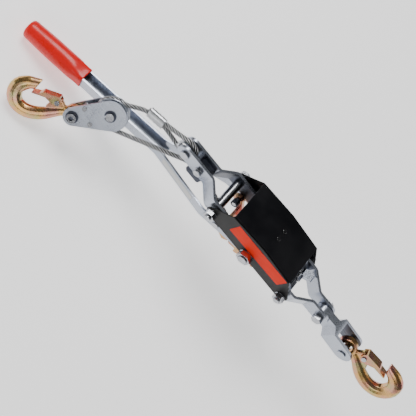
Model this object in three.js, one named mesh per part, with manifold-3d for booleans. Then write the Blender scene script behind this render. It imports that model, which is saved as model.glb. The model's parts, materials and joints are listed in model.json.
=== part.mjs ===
// Come along winch: a hand ratchet cable puller with a two-part rope run and a hook at each end.
// Millimetres, +Z up through the black cover, +X toward the anchor hook, -Y toward the label side.
// The scene is built round the drum axle and then stood on the ground, centred over the origin.
import * as THREE from 'three';
import { mergeVertices } from 'three/addons/utils/BufferGeometryUtils.js';
import Module from 'manifold-3d';

const wasm = await Module();
wasm.setup();

// ---------------------------------------------------------------- fits
const gap = 0.3;          // clearance between pieces that touch
const runFit = 0.35;      // radial clearance of a pin in a turning piece

// ---------------------------------------------------------------- frame
const stripWidth = 22;
const stripThickness = 3.6;
const stripRise = 1.2;          // the strips' middle line above the axle
const frameInside = 45.2;       // between the two side strips round the drum
const headInside = 11.4;        // between the strips where they meet at each head
const pulleyBendFar = 94;       // axle to where the strips meet at the pulley end
const pulleyBendNear = 76;      // axle to where they start to close there
const anchorBendNear = 76;
const anchorBendFar = 98;
const pulleyHeadEnd = 147;      // axle to the rounded end of the pulley head
const anchorHeadEnd = 133;
const stripBendRadius = 7;

const throughBoltX = 65;        // front and rear through bolts, either side of the axle
const throughBoltRadius = 4;
const boltHeadAcross = 13;
const boltHeadHeight = 5.3;
const washerRadius = 8.4;
const washerThickness = 1.4;
const frontSpacerRadius = 6;
const collarLength = 7;
const threadLength = 10;        // the bolts' threaded ends, past the cover panels
const axleRadius = 6;
const axleHeadAcross = 17;
const axleHeadHeight = 6;
const boltNutHeight = 7;
const axleNutHeight = 8;

// ---------------------------------------------------------------- cover
const coverLength = 102;
const coverSheet = 1.2;
const coverEaveHeight = 32.4;   // axle to the roof at its two ends
const coverRidgeHeight = 36.8;  // axle to the fold across the middle
const coverSkirtBottom = 20;
const coverRivetSpacing = 12.6;
const coverRivetX = 4;
const coverRivetRadius = 1.6;
const panelSheet = 1.3;
const panelTopDrop = 1.5;       // panel edge below the roof
const panelBottom = -8;
const panelLobeRadius = 9.5;
const panelLobeRise = 1.5;      // the lobes round the bolts stand this far above the axle

// ---------------------------------------------------------------- drum
const toothCount = 15;
const ratchetRadius = 34.2;
const toothDepth = 5;
const ratchetThickness = 4.8;
const drumBarrelRadius = 13.4;
const ropeRadius = 3;
const ropeTurns = 4;

// ---------------------------------------------------------------- handle
const handleDroop = THREE.MathUtils.degToRad(16.3);
const handleLegThickness = 3;
const handleDepth = 15;
const handleChannelWidth = 18;
const handleWeb = 2.6;
const handleHubRadius = 10;
const legFlareStart = 74;       // axle to where the legs start to close
const legFlareEnd = 160;        // axle to where they have become the channel
const channelWebStart = 150;
const gripLength = 90.5;
const gripRadius = 13.4;
const handleLength = 369.5;
const gripHug = 1.7;            // vinyl over the channel at the rim, where the grip hugs it
const gripPocketEnd = 6;        // the channel stops this far inside the grip's end

// ---------------------------------------------------------------- pawls
const drivePawlPivotRadius = 50;      // axle to the drive pawl's pin, on the handle's middle line
const drivePawlPinRadius = 3;
const drivePawlTipAngle = 236.7;      // degrees, from +X over +Z, of the tooth face it pushes
const pawlSteps = 8;                  // teeth between the two pawls
const pawlHubRadius = 6.6;
const pawlNose = 8.5;
const noseRise = 5;                   // the nose stands this far off the pawl's own line
const pawlLift = THREE.MathUtils.degToRad(10.5);   // both pawls stand just clear of the teeth
const holdPawlLift = THREE.MathUtils.degToRad(7.5);
const releaseTabLength = 17;
const releaseTabWidth = 10;
const springWire = 0.8;
const springSeat = 8;                 // middle of the winch to the drive pawl spring

// ---------------------------------------------------------------- rope, eye and guide
const ropeRunHeight = -16.7;          // the rope leaves the drum on its underside
const guideFront = 96;                // axle to the guide block's face
const guideLength = 23;
const guideTop = 7;
const guideBottom = 26.5;
const guideBoltX = 110;
const guideBoltRadius = 3.2;
const headRivetX = 135;
const headRivetRadius = 3.8;
const rivetHeadWidth = 2.4;           // a rivet head stands out this far round its shank
const rivetHeadHeight = 2.6;
const thimbleInside = 9;
const thimbleWall = 1.4;
const ferruleLength = 22;
const ferruleWall = 2.2;
const ferruleStart = 36;              // eye centre to the ferrule

// ---------------------------------------------------------------- pulley block
const sheaveCentre = new THREE.Vector3(-221, -25, -40.5);
const blockLong = new THREE.Vector3(-0.582, -0.512, -0.632).normalize();   // sheave pin to hook bolt
const blockAxle = new THREE.Vector3(0.05, -0.798, 0.601);                  // toward the near cheek
const ropePitchRadius = 18;
const sheaveFlangeRadius = 20.5;
const sheaveWidth = 10.4;
const sheavePinRadius = 5;
const blockPitch = 45;                // sheave pin to hook bolt
const cheekThickness = 3;
const cheekInside = 12;
const cheekBigRadius = 18.6;
const cheekSmallRadius = 11;
const hookBoltRadius = 4;
const hookBoltHeadRadius = 5.8;
const hookBoltHeadHeight = 4;
const hookBoltSocket = 5.4;           // hexagon socket across flats
const hookBoltNutAcross = 11;
const hookWasherThickness = 1.2;
const hookWasherRadius = 7.6;
const spacerRadius = 2.2;

// ---------------------------------------------------------------- hooks
const hookEyeRadius = 12;
const hookEyeHole = 6.6;
const hookEyeThickness = 8.4;
const latchLength = 31.5;
const latchSheet = 1.1;
const latchWidth = 12;
const latchRoof = 7.6;                  // latch rivet to the outside of its folded back
const latchTip = 1.6;                  // its end passes inside the hook's tip
const latchShoulder = 19;
const latchRivetRadius = 1.8;
const latchAngle = THREE.MathUtils.degToRad(5);
const loadHookTurn = THREE.MathUtils.degToRad(19.7);
const anchorHookTurn = THREE.MathUtils.degToRad(-3);
const anchorHookRoll = THREE.MathUtils.degToRad(22);
const anchorHookSize = 1.1;           // the anchor hook is one size up from the load hook

// ---------------------------------------------------------------- anchor clevis
const yokeBoltX = 121;
const clevisTilt = THREE.MathUtils.degToRad(-5);   // the clevis hangs a little off the frame's line
const yokeBoltRadius = 4;
const tongueRadius = 10;
const clevisTongue = 10.6;            // thickness of the stem between the head plates
const clevisInside = 20.8;
const clevisSheet = 3.8;
const clevisWebX = 26;                // the next two are measured from the yoke bolt
const clevisWidth = 26;
const clevisPinX = 57;
const clevisPinRadius = 4.2;

// ---------------------------------------------------------------- finishes
const zinc = { color: 0xb9c1cf, roughness: 0.34, metalness: 0.9 };
const brightZinc = { color: 0xd6dae0, roughness: 0.22, metalness: 1 };
const gold = { color: 0xc99a6a, roughness: 0.3, metalness: 0.95 };
const blackPaint = { color: 0x18181c, roughness: 0.5, metalness: 0.1 };
const redVinyl = { color: 0xd8231f, roughness: 0.3, metalness: 0 };
const wireRope = { color: 0x9a9c9e, roughness: 0.45, metalness: 0.85 };
const darkSteel = { color: 0x4a4f5a, roughness: 0.5, metalness: 0.8 };
const aluminium = { color: 0xc9ccd0, roughness: 0.38, metalness: 0.9 };

// ================================================================ solids
function toSolid(geometry) {
  const plain = geometry.clone();
  plain.deleteAttribute('normal');
  plain.deleteAttribute('uv');
  const merged = mergeVertices(plain, 1e-4);
  return new wasm.Manifold(new wasm.Mesh({
    numProp: 3,
    vertProperties: Float32Array.from(merged.attributes.position.array),
    triVerts: Uint32Array.from(merged.index.array),
  }));
}

function toGeometry(solid) {
  const mesh = solid.getMesh();
  const geometry = new THREE.BufferGeometry();
  geometry.setAttribute('position', new THREE.BufferAttribute(Float32Array.from(mesh.vertProperties), 3));
  geometry.setIndex(new THREE.BufferAttribute(Uint32Array.from(mesh.triVerts), 1));
  return geometry;
}

function cut(solid, ...tools) {
  return tools.reduce((rest, tool) => rest.subtract(tool), solid);
}

function join(solid, ...others) {
  return others.reduce((whole, other) => whole.add(other), solid);
}

function piece(name, solid, finish) {
  const mesh = new THREE.Mesh(toGeometry(solid), new THREE.MeshStandardMaterial(finish));
  mesh.name = name;
  return mesh;
}

// A shape drawn in X and Z, made into a plate between two values of Y.
function sidePlate(shape, fromY, toY, curveSegments = 10) {
  const options = { depth: toY - fromY, bevelEnabled: false, curveSegments };
  const geometry = new THREE.ExtrudeGeometry(shape, options);
  geometry.rotateX(Math.PI / 2);
  geometry.translate(0, toY, 0);
  return toSolid(geometry);
}

// A shape drawn in X and Y, raised from one height to another.
function flatPlate(shape, fromZ, toZ, curveSegments = 10) {
  const options = { depth: toZ - fromZ, bevelEnabled: false, curveSegments };
  const geometry = new THREE.ExtrudeGeometry(shape, options);
  geometry.translate(0, 0, fromZ);
  return toSolid(geometry);
}

function box(fromX, toX, fromY, toY, fromZ, toZ) {
  const geometry = new THREE.BoxGeometry(toX - fromX, toY - fromY, toZ - fromZ);
  geometry.translate((fromX + toX) / 2, (fromY + toY) / 2, (fromZ + toZ) / 2);
  return toSolid(geometry);
}

// A round bar along Y.
function bar(radius, fromY, toY, x = 0, z = 0, sides = 16) {
  const geometry = new THREE.CylinderGeometry(radius, radius, toY - fromY, sides);
  geometry.translate(x, (fromY + toY) / 2, z);
  return toSolid(geometry);
}

// A hexagon along Y with slightly crowned corners.
function hexagon(across, fromY, toY, x = 0, z = 0) {
  const radius = across / Math.sqrt(3);
  const prism = new THREE.CylinderGeometry(radius, radius, toY - fromY, 6);
  prism.translate(x, (fromY + toY) / 2, z);
  const crown = new THREE.SphereGeometry(radius * 1.35, 18, 10);
  crown.scale(1, 0.95, 1);
  crown.translate(x, (fromY + toY) / 2, z);
  return toSolid(prism).intersect(toSolid(crown));
}

function circle(x, y, radius) {
  return new THREE.Shape().absarc(x, y, radius, 0, Math.PI * 2, false);
}

// The outline of a bent sheet: a middle line, rounded at its corners, with a thickness.
function bentSheet(corners, thickness, bendRadius, arcSteps = 5) {
  const line = [];
  corners.forEach((corner, index) => {
    if (index === 0 || index === corners.length - 1) {
      line.push(corner.clone());
      return;
    }
    const before = corners[index - 1].clone().sub(corner).normalize();
    const after = corners[index + 1].clone().sub(corner).normalize();
    const half = Math.acos(THREE.MathUtils.clamp(before.dot(after), -1, 1)) / 2;
    const reach = bendRadius / Math.tan(half);
    const start = corner.clone().addScaledVector(before, reach);
    const end = corner.clone().addScaledVector(after, reach);
    const bend = new THREE.QuadraticBezierCurve(start, corner, end);
    line.push(...bend.getPoints(arcSteps));
  });
  const left = [];
  const right = [];
  line.forEach((point, index) => {
    const previous = line[Math.max(index - 1, 0)];
    const next = line[Math.min(index + 1, line.length - 1)];
    const along = next.clone().sub(previous).normalize();
    const across = new THREE.Vector2(-along.y, along.x).multiplyScalar(thickness / 2);
    left.push(point.clone().add(across));
    right.unshift(point.clone().sub(across));
  });
  return new THREE.Shape([...left, ...right]);
}

// A tube along a curve, with flat ends.
function tube(curve, radius, steps, sides = 8) {
  const options = { extrudePath: curve, steps, bevelEnabled: false, curveSegments: sides };
  const section = new THREE.Shape();
  for (let side = 0; side < sides; side += 1) {
    const angle = (side / sides) * Math.PI * 2;
    const x = Math.cos(angle) * radius;
    const y = Math.sin(angle) * radius;
    if (side === 0) section.moveTo(x, y);
    else section.lineTo(x, y);
  }
  section.closePath();
  return toSolid(new THREE.ExtrudeGeometry(section, options));
}

// A coil about the Y axis.
class Coil extends THREE.Curve {
  constructor(radius, fromY, toY, turns, x = 0, z = 0, startAngle = 0) {
    super();
    Object.assign(this, { radius, fromY, toY, turns, x, z, startAngle });
  }

  getPoint(t, target = new THREE.Vector3()) {
    const angle = this.startAngle + t * this.turns * Math.PI * 2;
    const y = this.fromY + (this.toY - this.fromY) * t;
    return target.set(this.x + Math.cos(angle) * this.radius, y, this.z + Math.sin(angle) * this.radius);
  }
}

// A closed skin over rings of points, with a pole at each end.
function skin(rings, firstPole, lastPole) {
  const points = [...rings.flat(), firstPole, lastPole];
  const count = rings[0].length;
  const first = points.length - 2;
  const last = points.length - 1;
  const faces = [];
  for (let side = 0; side < count; side += 1) {
    const next = (side + 1) % count;
    faces.push(first, next, side);
    for (let ring = 0; ring < rings.length - 1; ring += 1) {
      const low = ring * count;
      const high = low + count;
      faces.push(low + side, low + next, high + next);
      faces.push(low + side, high + next, high + side);
    }
    const end = (rings.length - 1) * count;
    faces.push(last, end + side, end + next);
  }
  const geometry = new THREE.BufferGeometry().setFromPoints(points);
  geometry.setIndex(faces);
  return toSolid(geometry);
}

// A round body about the Y axis from a list of radius and Y pairs.
function turned(profile, segments = 32) {
  const points = profile.map(([radius, y]) => new THREE.Vector2(radius, y));
  return toSolid(new THREE.LatheGeometry(points, segments));
}

function polar(radius, degrees) {
  const angle = THREE.MathUtils.degToRad(degrees);
  return new THREE.Vector2(Math.cos(angle) * radius, Math.sin(angle) * radius);
}

// A nested group whose X axis and Y axis are given.
function placed(name, origin, xAxis, yAxis) {
  const group = new THREE.Group();
  group.name = name;
  const x = xAxis.clone().normalize();
  const y = yAxis.clone().addScaledVector(x, -yAxis.dot(x)).normalize();
  const z = new THREE.Vector3().crossVectors(x, y);
  group.quaternion.setFromRotationMatrix(new THREE.Matrix4().makeBasis(x, y, z));
  group.position.copy(origin);
  return group;
}

const winch = new THREE.Group();
winch.name = 'come_along_winch';

// ================================================================ frame
const stripInside = frameInside / 2;
const stripOutside = stripInside + stripThickness;
const stripMiddle = stripInside + stripThickness / 2;
const headMiddle = (headInside + stripThickness) / 2;
const headOutside = headInside / 2 + stripThickness;
const legInside = stripOutside + gap;
const legOutside = legInside + handleLegThickness;
const panelInside = legOutside + gap;
const panelOutside = panelInside + panelSheet;
const boltHole = throughBoltRadius + gap;

function stripSolid() {
  const plan = bentSheet([
    new THREE.Vector2(-pulleyHeadEnd, headMiddle),
    new THREE.Vector2(-pulleyBendFar, headMiddle),
    new THREE.Vector2(-pulleyBendNear, stripMiddle),
    new THREE.Vector2(anchorBendNear, stripMiddle),
    new THREE.Vector2(anchorBendFar, headMiddle),
    new THREE.Vector2(anchorHeadEnd, headMiddle),
  ], stripThickness, stripBendRadius);
  const half = stripWidth / 2;
  const side = new THREE.Shape();
  side.absarc(anchorHeadEnd - half, stripRise, half, -Math.PI / 2, Math.PI / 2, false);
  side.absarc(-pulleyHeadEnd + half, stripRise, half, Math.PI / 2, Math.PI * 1.5, false);
  const ribbon = flatPlate(plan, stripRise - half - 1, stripRise + half + 1);
  const blank = ribbon.intersect(sidePlate(side, 0, stripOutside + 1));
  return cut(
    blank,
    bar(axleRadius + gap, 0, stripOutside + 1, 0, 0),
    bar(boltHole, 0, stripOutside + 1, -throughBoltX, 0),
    bar(boltHole, 0, stripOutside + 1, throughBoltX, 0),
    bar(headRivetRadius + gap, 0, stripOutside, -headRivetX, 0),
    bar(guideBoltRadius + gap, 0, stripOutside, -guideBoltX, 0),
    bar(yokeBoltRadius + gap, 0, stripOutside, yokeBoltX, 0),
  );
}

function mirrorY(solid) {
  return solid.mirror([0, 1, 0]);
}

const strip = stripSolid();
winch.add(piece('far_side_strip', strip, zinc));
winch.add(piece('near_side_strip', mirrorY(strip), zinc));

function roofHeight(x) {
  const rise = coverRidgeHeight - coverEaveHeight;
  return coverRidgeHeight - (rise * Math.abs(x)) / (coverLength / 2);
}

function panelSolid() {
  const corner = coverLength / 2;
  const top = coverEaveHeight - panelTopDrop;
  const outline = new THREE.Shape();
  outline.moveTo(-throughBoltX + 3, panelBottom);
  outline.lineTo(throughBoltX - 3, panelBottom);
  outline.absarc(throughBoltX - 1, panelLobeRise, panelLobeRadius, -Math.PI / 2, Math.PI / 5, false);
  outline.lineTo(corner, top);
  outline.lineTo(0, coverRidgeHeight - panelTopDrop);
  outline.lineTo(-corner, top);
  outline.absarc(-throughBoltX + 1, panelLobeRise, panelLobeRadius, Math.PI * 0.8, Math.PI * 1.5, false);
  return cut(
    sidePlate(outline, panelInside, panelOutside),
    bar(axleRadius + gap, 0, panelOutside + 1, 0, 0),
    bar(boltHole, 0, panelOutside + 1, -throughBoltX, 0),
    bar(boltHole, 0, panelOutside + 1, throughBoltX, 0),
  );
}

const panel = panelSolid();
winch.add(piece('far_cover_panel', panel, blackPaint));
winch.add(piece('near_cover_panel', mirrorY(panel), blackPaint));

function houseShape(inset, bottom) {
  const half = coverLength / 2;
  const shape = new THREE.Shape();
  shape.moveTo(-half - inset, bottom);
  shape.lineTo(half + inset, bottom);
  shape.lineTo(half + inset, roofHeight(half) - coverSheet * (inset > 0));
  shape.lineTo(0, coverRidgeHeight - coverSheet * (inset > 0));
  shape.lineTo(-half - inset, roofHeight(half) - coverSheet * (inset > 0));
  return shape;
}

const coverRivetHole = bar(coverRivetRadius + gap, -10, 10);
function standing(solid, x, y, z) {
  return solid.rotate([90, 0, 0]).translate([x, y, z]);
}

const coverWidth = 2 * (panelInside - gap);
const coverShell = cut(
  sidePlate(houseShape(0, coverSkirtBottom), -coverWidth / 2, coverWidth / 2),
  sidePlate(houseShape(1, coverSkirtBottom - 1), -coverWidth / 2 + coverSheet, coverWidth / 2 - coverSheet),
  standing(coverRivetHole, coverRivetX, -coverRivetSpacing / 2, coverRidgeHeight),
  standing(coverRivetHole, coverRivetX, coverRivetSpacing / 2, coverRidgeHeight),
);
winch.add(piece('top_cover', coverShell, blackPaint));

function coverRivet() {
  const top = roofHeight(coverRivetX) + gap;
  const under = top - coverSheet - 2 * gap;
  const profile = [
    [0, under - 1.2], [coverRivetRadius + 0.8, under - 0.9], [coverRivetRadius + 0.8, under],
    [coverRivetRadius, under], [coverRivetRadius, top], [coverRivetRadius + 1.4, top],
    [coverRivetRadius + 0.9, top + 0.8], [0, top + 1.1],
  ];
  return turned(profile, 14).rotate([90, 0, 0]);
}

for (const [name, side] of [['near_cover_rivet', -1], ['far_cover_rivet', 1]]) {
  const rivet = coverRivet().translate([coverRivetX, (side * coverRivetSpacing) / 2, 0]);
  winch.add(piece(name, rivet, blackPaint));
}

// A bolt along Y: washer faced hexagon on the near side, plain shank to the far side.
function throughBolt(radius, across, height, seat, far, x) {
  return join(
    bar(radius, -seat - 0.5, far, x, 0),
    bar(washerRadius, -seat - gap - washerThickness, -seat - gap, x, 0, 24),
    hexagon(across, -seat - gap - washerThickness - height, -seat - gap - washerThickness + 0.1, x, 0),
  );
}

function lockNut(radius, across, height, seat, x) {
  const nut = join(
    bar(across / 2 + 0.9, seat + gap, seat + gap + 1.2, x, 0, 24),
    hexagon(across, seat + gap + 1.1, seat + gap + height, x, 0),
  );
  return cut(nut, bar(radius + gap, seat - 1, seat + height + 2, x, 0));
}

const boltEnd = panelOutside + threadLength;
const frontBolt = throughBolt(
  throughBoltRadius, boltHeadAcross, boltHeadHeight, panelOutside, boltEnd, -throughBoltX,
);
const rearBolt = throughBolt(
  throughBoltRadius, boltHeadAcross, boltHeadHeight, panelOutside, boltEnd, throughBoltX,
);
const axleEnd = panelOutside + threadLength;
const drumAxle = throughBolt(axleRadius, axleHeadAcross, axleHeadHeight, panelOutside, axleEnd, 0);
winch.add(piece('front_bolt', mirrorY(frontBolt), brightZinc));
winch.add(piece('rear_bolt', mirrorY(rearBolt), brightZinc));
winch.add(piece('drum_axle', mirrorY(drumAxle), brightZinc));
const frontNut = lockNut(throughBoltRadius, boltHeadAcross, boltNutHeight, panelOutside, -throughBoltX);
const rearNut = lockNut(throughBoltRadius, boltHeadAcross, boltNutHeight, panelOutside, throughBoltX);
const axleNut = lockNut(axleRadius, axleHeadAcross, axleNutHeight, panelOutside, 0);
winch.add(piece('front_nut', mirrorY(frontNut), brightZinc));
winch.add(piece('rear_nut', mirrorY(rearNut), brightZinc));
winch.add(piece('axle_nut', mirrorY(axleNut), brightZinc));
winch.add(piece('front_spacer', cut(
  bar(frontSpacerRadius, -stripInside + gap, stripInside - gap, -throughBoltX, 0),
  bar(boltHole, -stripInside, stripInside, -throughBoltX, 0),
), brightZinc));

// ================================================================ pulley head
const headRivetEnd = headOutside + gap;
winch.add(piece('head_rivet', join(
  bar(headRivetRadius, -headRivetEnd - 0.5, headRivetEnd + 0.5, -headRivetX, 0),
  bar(headRivetRadius + rivetHeadWidth, -headRivetEnd - rivetHeadHeight, -headRivetEnd, -headRivetX, 0),
  bar(headRivetRadius + rivetHeadWidth, headRivetEnd, headRivetEnd + rivetHeadHeight, -headRivetX, 0),
), brightZinc));

const guideHalf = headInside / 2 - gap;
const ropeBore = ropeRadius + 0.8;
function guideSolid() {
  const back = -guideFront - guideLength;
  const outline = new THREE.Shape();
  outline.moveTo(-guideFront, guideTop - 3);
  outline.lineTo(-guideFront - 3, guideTop);
  outline.lineTo(back + 3, guideTop);
  outline.lineTo(back, guideTop - 3);
  outline.lineTo(back, -guideBottom + 4);
  outline.lineTo(back + 4, -guideBottom);
  outline.lineTo(-guideFront - 2, -guideBottom);
  outline.lineTo(-guideFront, -guideBottom + 2);
  const bore = new THREE.CylinderGeometry(ropeBore, ropeBore, guideLength + 10, 20);
  bore.rotateZ(Math.PI / 2);
  bore.translate(-guideFront - guideLength / 2, 0, ropeRunHeight);
  return cut(
    sidePlate(outline, -guideHalf, guideHalf),
    toSolid(bore),
    bar(guideBoltRadius + gap, -guideHalf - 1, guideHalf + 1, -guideBoltX, 0),
  );
}
winch.add(piece('rope_guide', guideSolid(), darkSteel));
const guideBolt = join(
  bar(guideBoltRadius, -headOutside - 0.5, headOutside + 5.5, -guideBoltX, 0),
  bar(5.6, -headOutside - gap - 1, -headOutside - gap, -guideBoltX, 0),
  hexagon(9, -headOutside - gap - 4.6, -headOutside - gap - 0.9, -guideBoltX, 0),
);
winch.add(piece('guide_bolt', guideBolt, brightZinc));
winch.add(piece('guide_nut', lockNut(guideBoltRadius, 9, 4.6, headOutside, -guideBoltX), brightZinc));

// ================================================================ drum
function ratchetShape() {
  const shape = new THREE.Shape();
  const pitch = 360 / toothCount;
  for (let tooth = 0; tooth < toothCount; tooth += 1) {
    const angle = drivePawlTipAngle + tooth * pitch;
    const root = polar(ratchetRadius - toothDepth, angle);
    const crest = polar(ratchetRadius, angle + 0.6);
    const land = polar(ratchetRadius, angle + pitch * 0.24);
    const valley = polar(ratchetRadius - toothDepth, angle + pitch * 0.72);
    if (tooth === 0) shape.moveTo(root.x, root.y);
    else shape.lineTo(root.x, root.y);
    shape.lineTo(crest.x, crest.y);
    shape.lineTo(land.x, land.y);
    shape.lineTo(valley.x, valley.y);
  }
  shape.closePath();
  return shape;
}

const drum = new THREE.Group();
drum.name = 'drum';
winch.add(drum);
const ratchetOuter = stripInside - gap - 0.1;
const ratchetInner = ratchetOuter - ratchetThickness;
const axleBore = axleRadius + runFit;
const ratchetWheel = cut(
  sidePlate(ratchetShape(), ratchetInner, ratchetOuter),
  bar(axleBore, ratchetInner - 1, ratchetOuter + 1, 0, 0),
);
drum.add(piece('far_ratchet', ratchetWheel, gold));
drum.add(piece('near_ratchet', mirrorY(ratchetWheel), gold));
const barrelHalf = ratchetInner - gap;
drum.add(piece('drum_barrel', cut(
  bar(drumBarrelRadius, -barrelHalf, barrelHalf, 0, 0, 28),
  bar(axleBore, -barrelHalf - 1, barrelHalf + 1, 0, 0),
), gold));
const windRadius = drumBarrelRadius + ropeRadius + gap;
const windHalf = barrelHalf - ropeRadius - gap;
const windStart = -Math.PI / 2 + 0.08;
const windCoil = new Coil(windRadius, -windHalf, windHalf, ropeTurns, 0, 0, windStart);
drum.add(piece('rope_on_drum', tube(windCoil, ropeRadius, ropeTurns * 15), wireRope));

// ================================================================ pawls
// A forked pawl along +X from its pivot, with a square nose and +Z toward the drum.
// Its two cheeks straddle the rope, and the bridge that joins them lies on the outer side.
function pawlSolid(length, hole, tab) {
  const noseTop = noseRise + toothDepth * 0.44;
  const outline = new THREE.Shape();
  outline.absarc(0, 0, pawlHubRadius, Math.PI * 0.5, Math.PI * 1.5, false);
  outline.lineTo(length * 0.6, -pawlHubRadius * 0.8);
  outline.lineTo(length, noseTop - pawlNose);
  outline.lineTo(length, noseTop - 0.3);
  outline.lineTo(length - toothDepth * 0.7, noseTop);
  outline.lineTo(length - toothDepth * 2.1, noseTop - toothDepth * 0.65);
  outline.lineTo(length * 0.5, noseTop - toothDepth * 0.72);
  const half = stripInside - gap - 0.3;
  let body = sidePlate(outline, -half, half);
  const between = ratchetInner - 0.6;
  const slot = box(-pawlHubRadius - 1, length * 0.55, -between, between, -30, 30);
  const noseSlot = box(length * 0.86, length + 1, -between, between, -30, 30);
  const ropeSide = box(-pawlHubRadius - 1, length + 1, -between, between, -1, 30);
  body = cut(body, slot, noseSlot, ropeSide);
  if (tab) body = body.add(tab);
  return cut(body, bar(hole, -half - 1, half + 1, 0, 0));
}

const driveTip = polar(ratchetRadius - toothDepth / 2, drivePawlTipAngle - 2.5);
const handleAngle = 180 + THREE.MathUtils.radToDeg(handleDroop);
const drivePivot = polar(drivePawlPivotRadius, handleAngle);
const holdTip = polar(
  ratchetRadius - toothDepth / 2,
  drivePawlTipAngle - pawlSteps * (360 / toothCount) - 2.5,
);
const holdPivot = new THREE.Vector2(throughBoltX, 0);

// Places a pawl at its pivot, aimed at its tooth and then lifted clear of it.
function pawlGroup(name, pivot, tip, lift) {
  const aim = tip.clone().sub(pivot);
  const bend = Math.asin(noseRise / aim.length());
  const direction = aim.clone().rotateAround(new THREE.Vector2(), lift - bend).normalize();
  const origin = new THREE.Vector3(pivot.x, 0, pivot.y);
  const along = new THREE.Vector3(direction.x, 0, direction.y);
  return placed(name, origin, along, new THREE.Vector3(0, 1, 0));
}

function pawlReach(tip, pivot) {
  return Math.sqrt(tip.distanceToSquared(pivot) - noseRise ** 2);
}

const drivePawlLength = pawlReach(driveTip, drivePivot);
const drivePawl = pawlGroup('drive_pawl_group', drivePivot, driveTip, -pawlLift);
drivePawl.add(piece('drive_pawl', pawlSolid(drivePawlLength, drivePawlPinRadius + runFit), gold));
winch.add(drivePawl);

const holdPawlLength = pawlReach(holdTip, holdPivot);
const holdPawl = pawlGroup('holding_pawl_group', holdPivot, holdTip, -holdPawlLift);
const tabPlate = new THREE.Shape();
tabPlate.moveTo(2, -pawlHubRadius + 0.4);
tabPlate.lineTo(-4, -releaseTabLength);
tabPlate.lineTo(-7, -releaseTabLength);
tabPlate.lineTo(-pawlHubRadius + 0.6, 1);
const releaseTab = sidePlate(tabPlate, ratchetInner - releaseTabWidth, ratchetInner);
const holdPawlBody = pawlSolid(holdPawlLength, throughBoltRadius + runFit, releaseTab);
holdPawl.add(piece('holding_pawl', holdPawlBody, zinc));
winch.add(holdPawl);

// Torsion springs: a close coil with one leg that presses on the pawl.
function torsionSpring(radius, fromY, toY, turns, x, z) {
  return tube(new Coil(radius, fromY, toY, turns, x, z, 0.4), springWire, turns * 11, 5);
}
const holdSpring = torsionSpring(throughBoltRadius + 1.8, -15, -3, 6, throughBoltX, 0);
winch.add(piece('holding_pawl_spring', holdSpring, brightZinc));
winch.add(piece('rear_collar', cut(
  hexagon(boltHeadAcross, -1, collarLength, throughBoltX, 0),
  bar(boltHole, -2, collarLength + 1, throughBoltX, 0),
), brightZinc));

// ================================================================ handle
const handle = placed(
  'handle',
  new THREE.Vector3(),
  new THREE.Vector3(-Math.cos(handleDroop), 0, -Math.sin(handleDroop)),
  new THREE.Vector3(0, -1, 0),
);
winch.add(handle);

function handleChannelSolid() {
  const legMiddle = (legInside + legOutside) / 2;
  const wallMiddle = (handleChannelWidth - handleLegThickness) / 2;
  const end = handleLength - gripPocketEnd;
  const plan = bentSheet([
    new THREE.Vector2(-handleHubRadius - 1, legMiddle),
    new THREE.Vector2(legFlareStart, legMiddle),
    new THREE.Vector2(legFlareEnd, wallMiddle),
    new THREE.Vector2(end, wallMiddle),
  ], handleLegThickness, 16, 6);
  const half = handleDepth / 2;
  const leg = flatPlate(plan, -handleHubRadius - 1, handleHubRadius + 1);
  const web = box(channelWebStart, end, -wallMiddle, wallMiddle, -half, -half + handleWeb);
  const walls = join(leg, mirrorY(leg), web);
  const side = new THREE.Shape();
  side.moveTo(handleHubRadius * 1.2, -half);
  side.lineTo(end, -half);
  side.lineTo(end, half);
  side.lineTo(handleHubRadius * 1.2, half);
  side.absarc(0, 0, handleHubRadius, Math.PI * 0.3, Math.PI * 1.7, false);
  const trimmed = walls.intersect(sidePlate(side, -legOutside - 1, legOutside + 1));
  const scoopCircle = circle(channelWebStart, 0, wallMiddle - handleLegThickness / 2);
  const scoop = flatPlate(scoopCircle, -half - 1, half + 1);
  return cut(
    trimmed,
    scoop,
    bar(axleRadius + runFit, -legOutside - 1, legOutside + 1, 0, 0, 24),
    bar(drivePawlPinRadius + gap, -legOutside - 1, legOutside + 1, drivePawlPivotRadius, 0),
  );
}
handle.add(piece('handle_channel', handleChannelSolid(), zinc));

// A moulded sleeve: it hugs the square channel at its rim and is round where the hand holds it.
// Each station: distance from the rim, half width, half height, squareness (2 is an ellipse).
const hugY = handleChannelWidth / 2 + gripHug;
const hugZ = handleDepth / 2 + gripHug;
const gripStations = [
  [0, hugY, hugZ, 5], [0.9, hugY + 0.5, hugZ + 0.5, 5], [6, hugY + 0.5, hugZ + 0.6, 4.6],
  [12, hugY + 1, hugZ + 1.7, 3.4], [19, gripRadius - 0.4, gripRadius - 0.8, 2.4],
  [27, gripRadius, gripRadius, 2], [52, gripRadius + 0.1, gripRadius + 0.1, 2],
  [70, gripRadius - 0.4, gripRadius - 0.4, 2], [gripLength - 7, gripRadius - 0.8, gripRadius - 0.8, 2],
  [gripLength - 2.8, gripRadius - 1.4, gripRadius - 1.4, 2],
  [gripLength - 0.8, gripRadius - 3, gripRadius - 3, 2],
];
const gripSides = 28;

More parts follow.
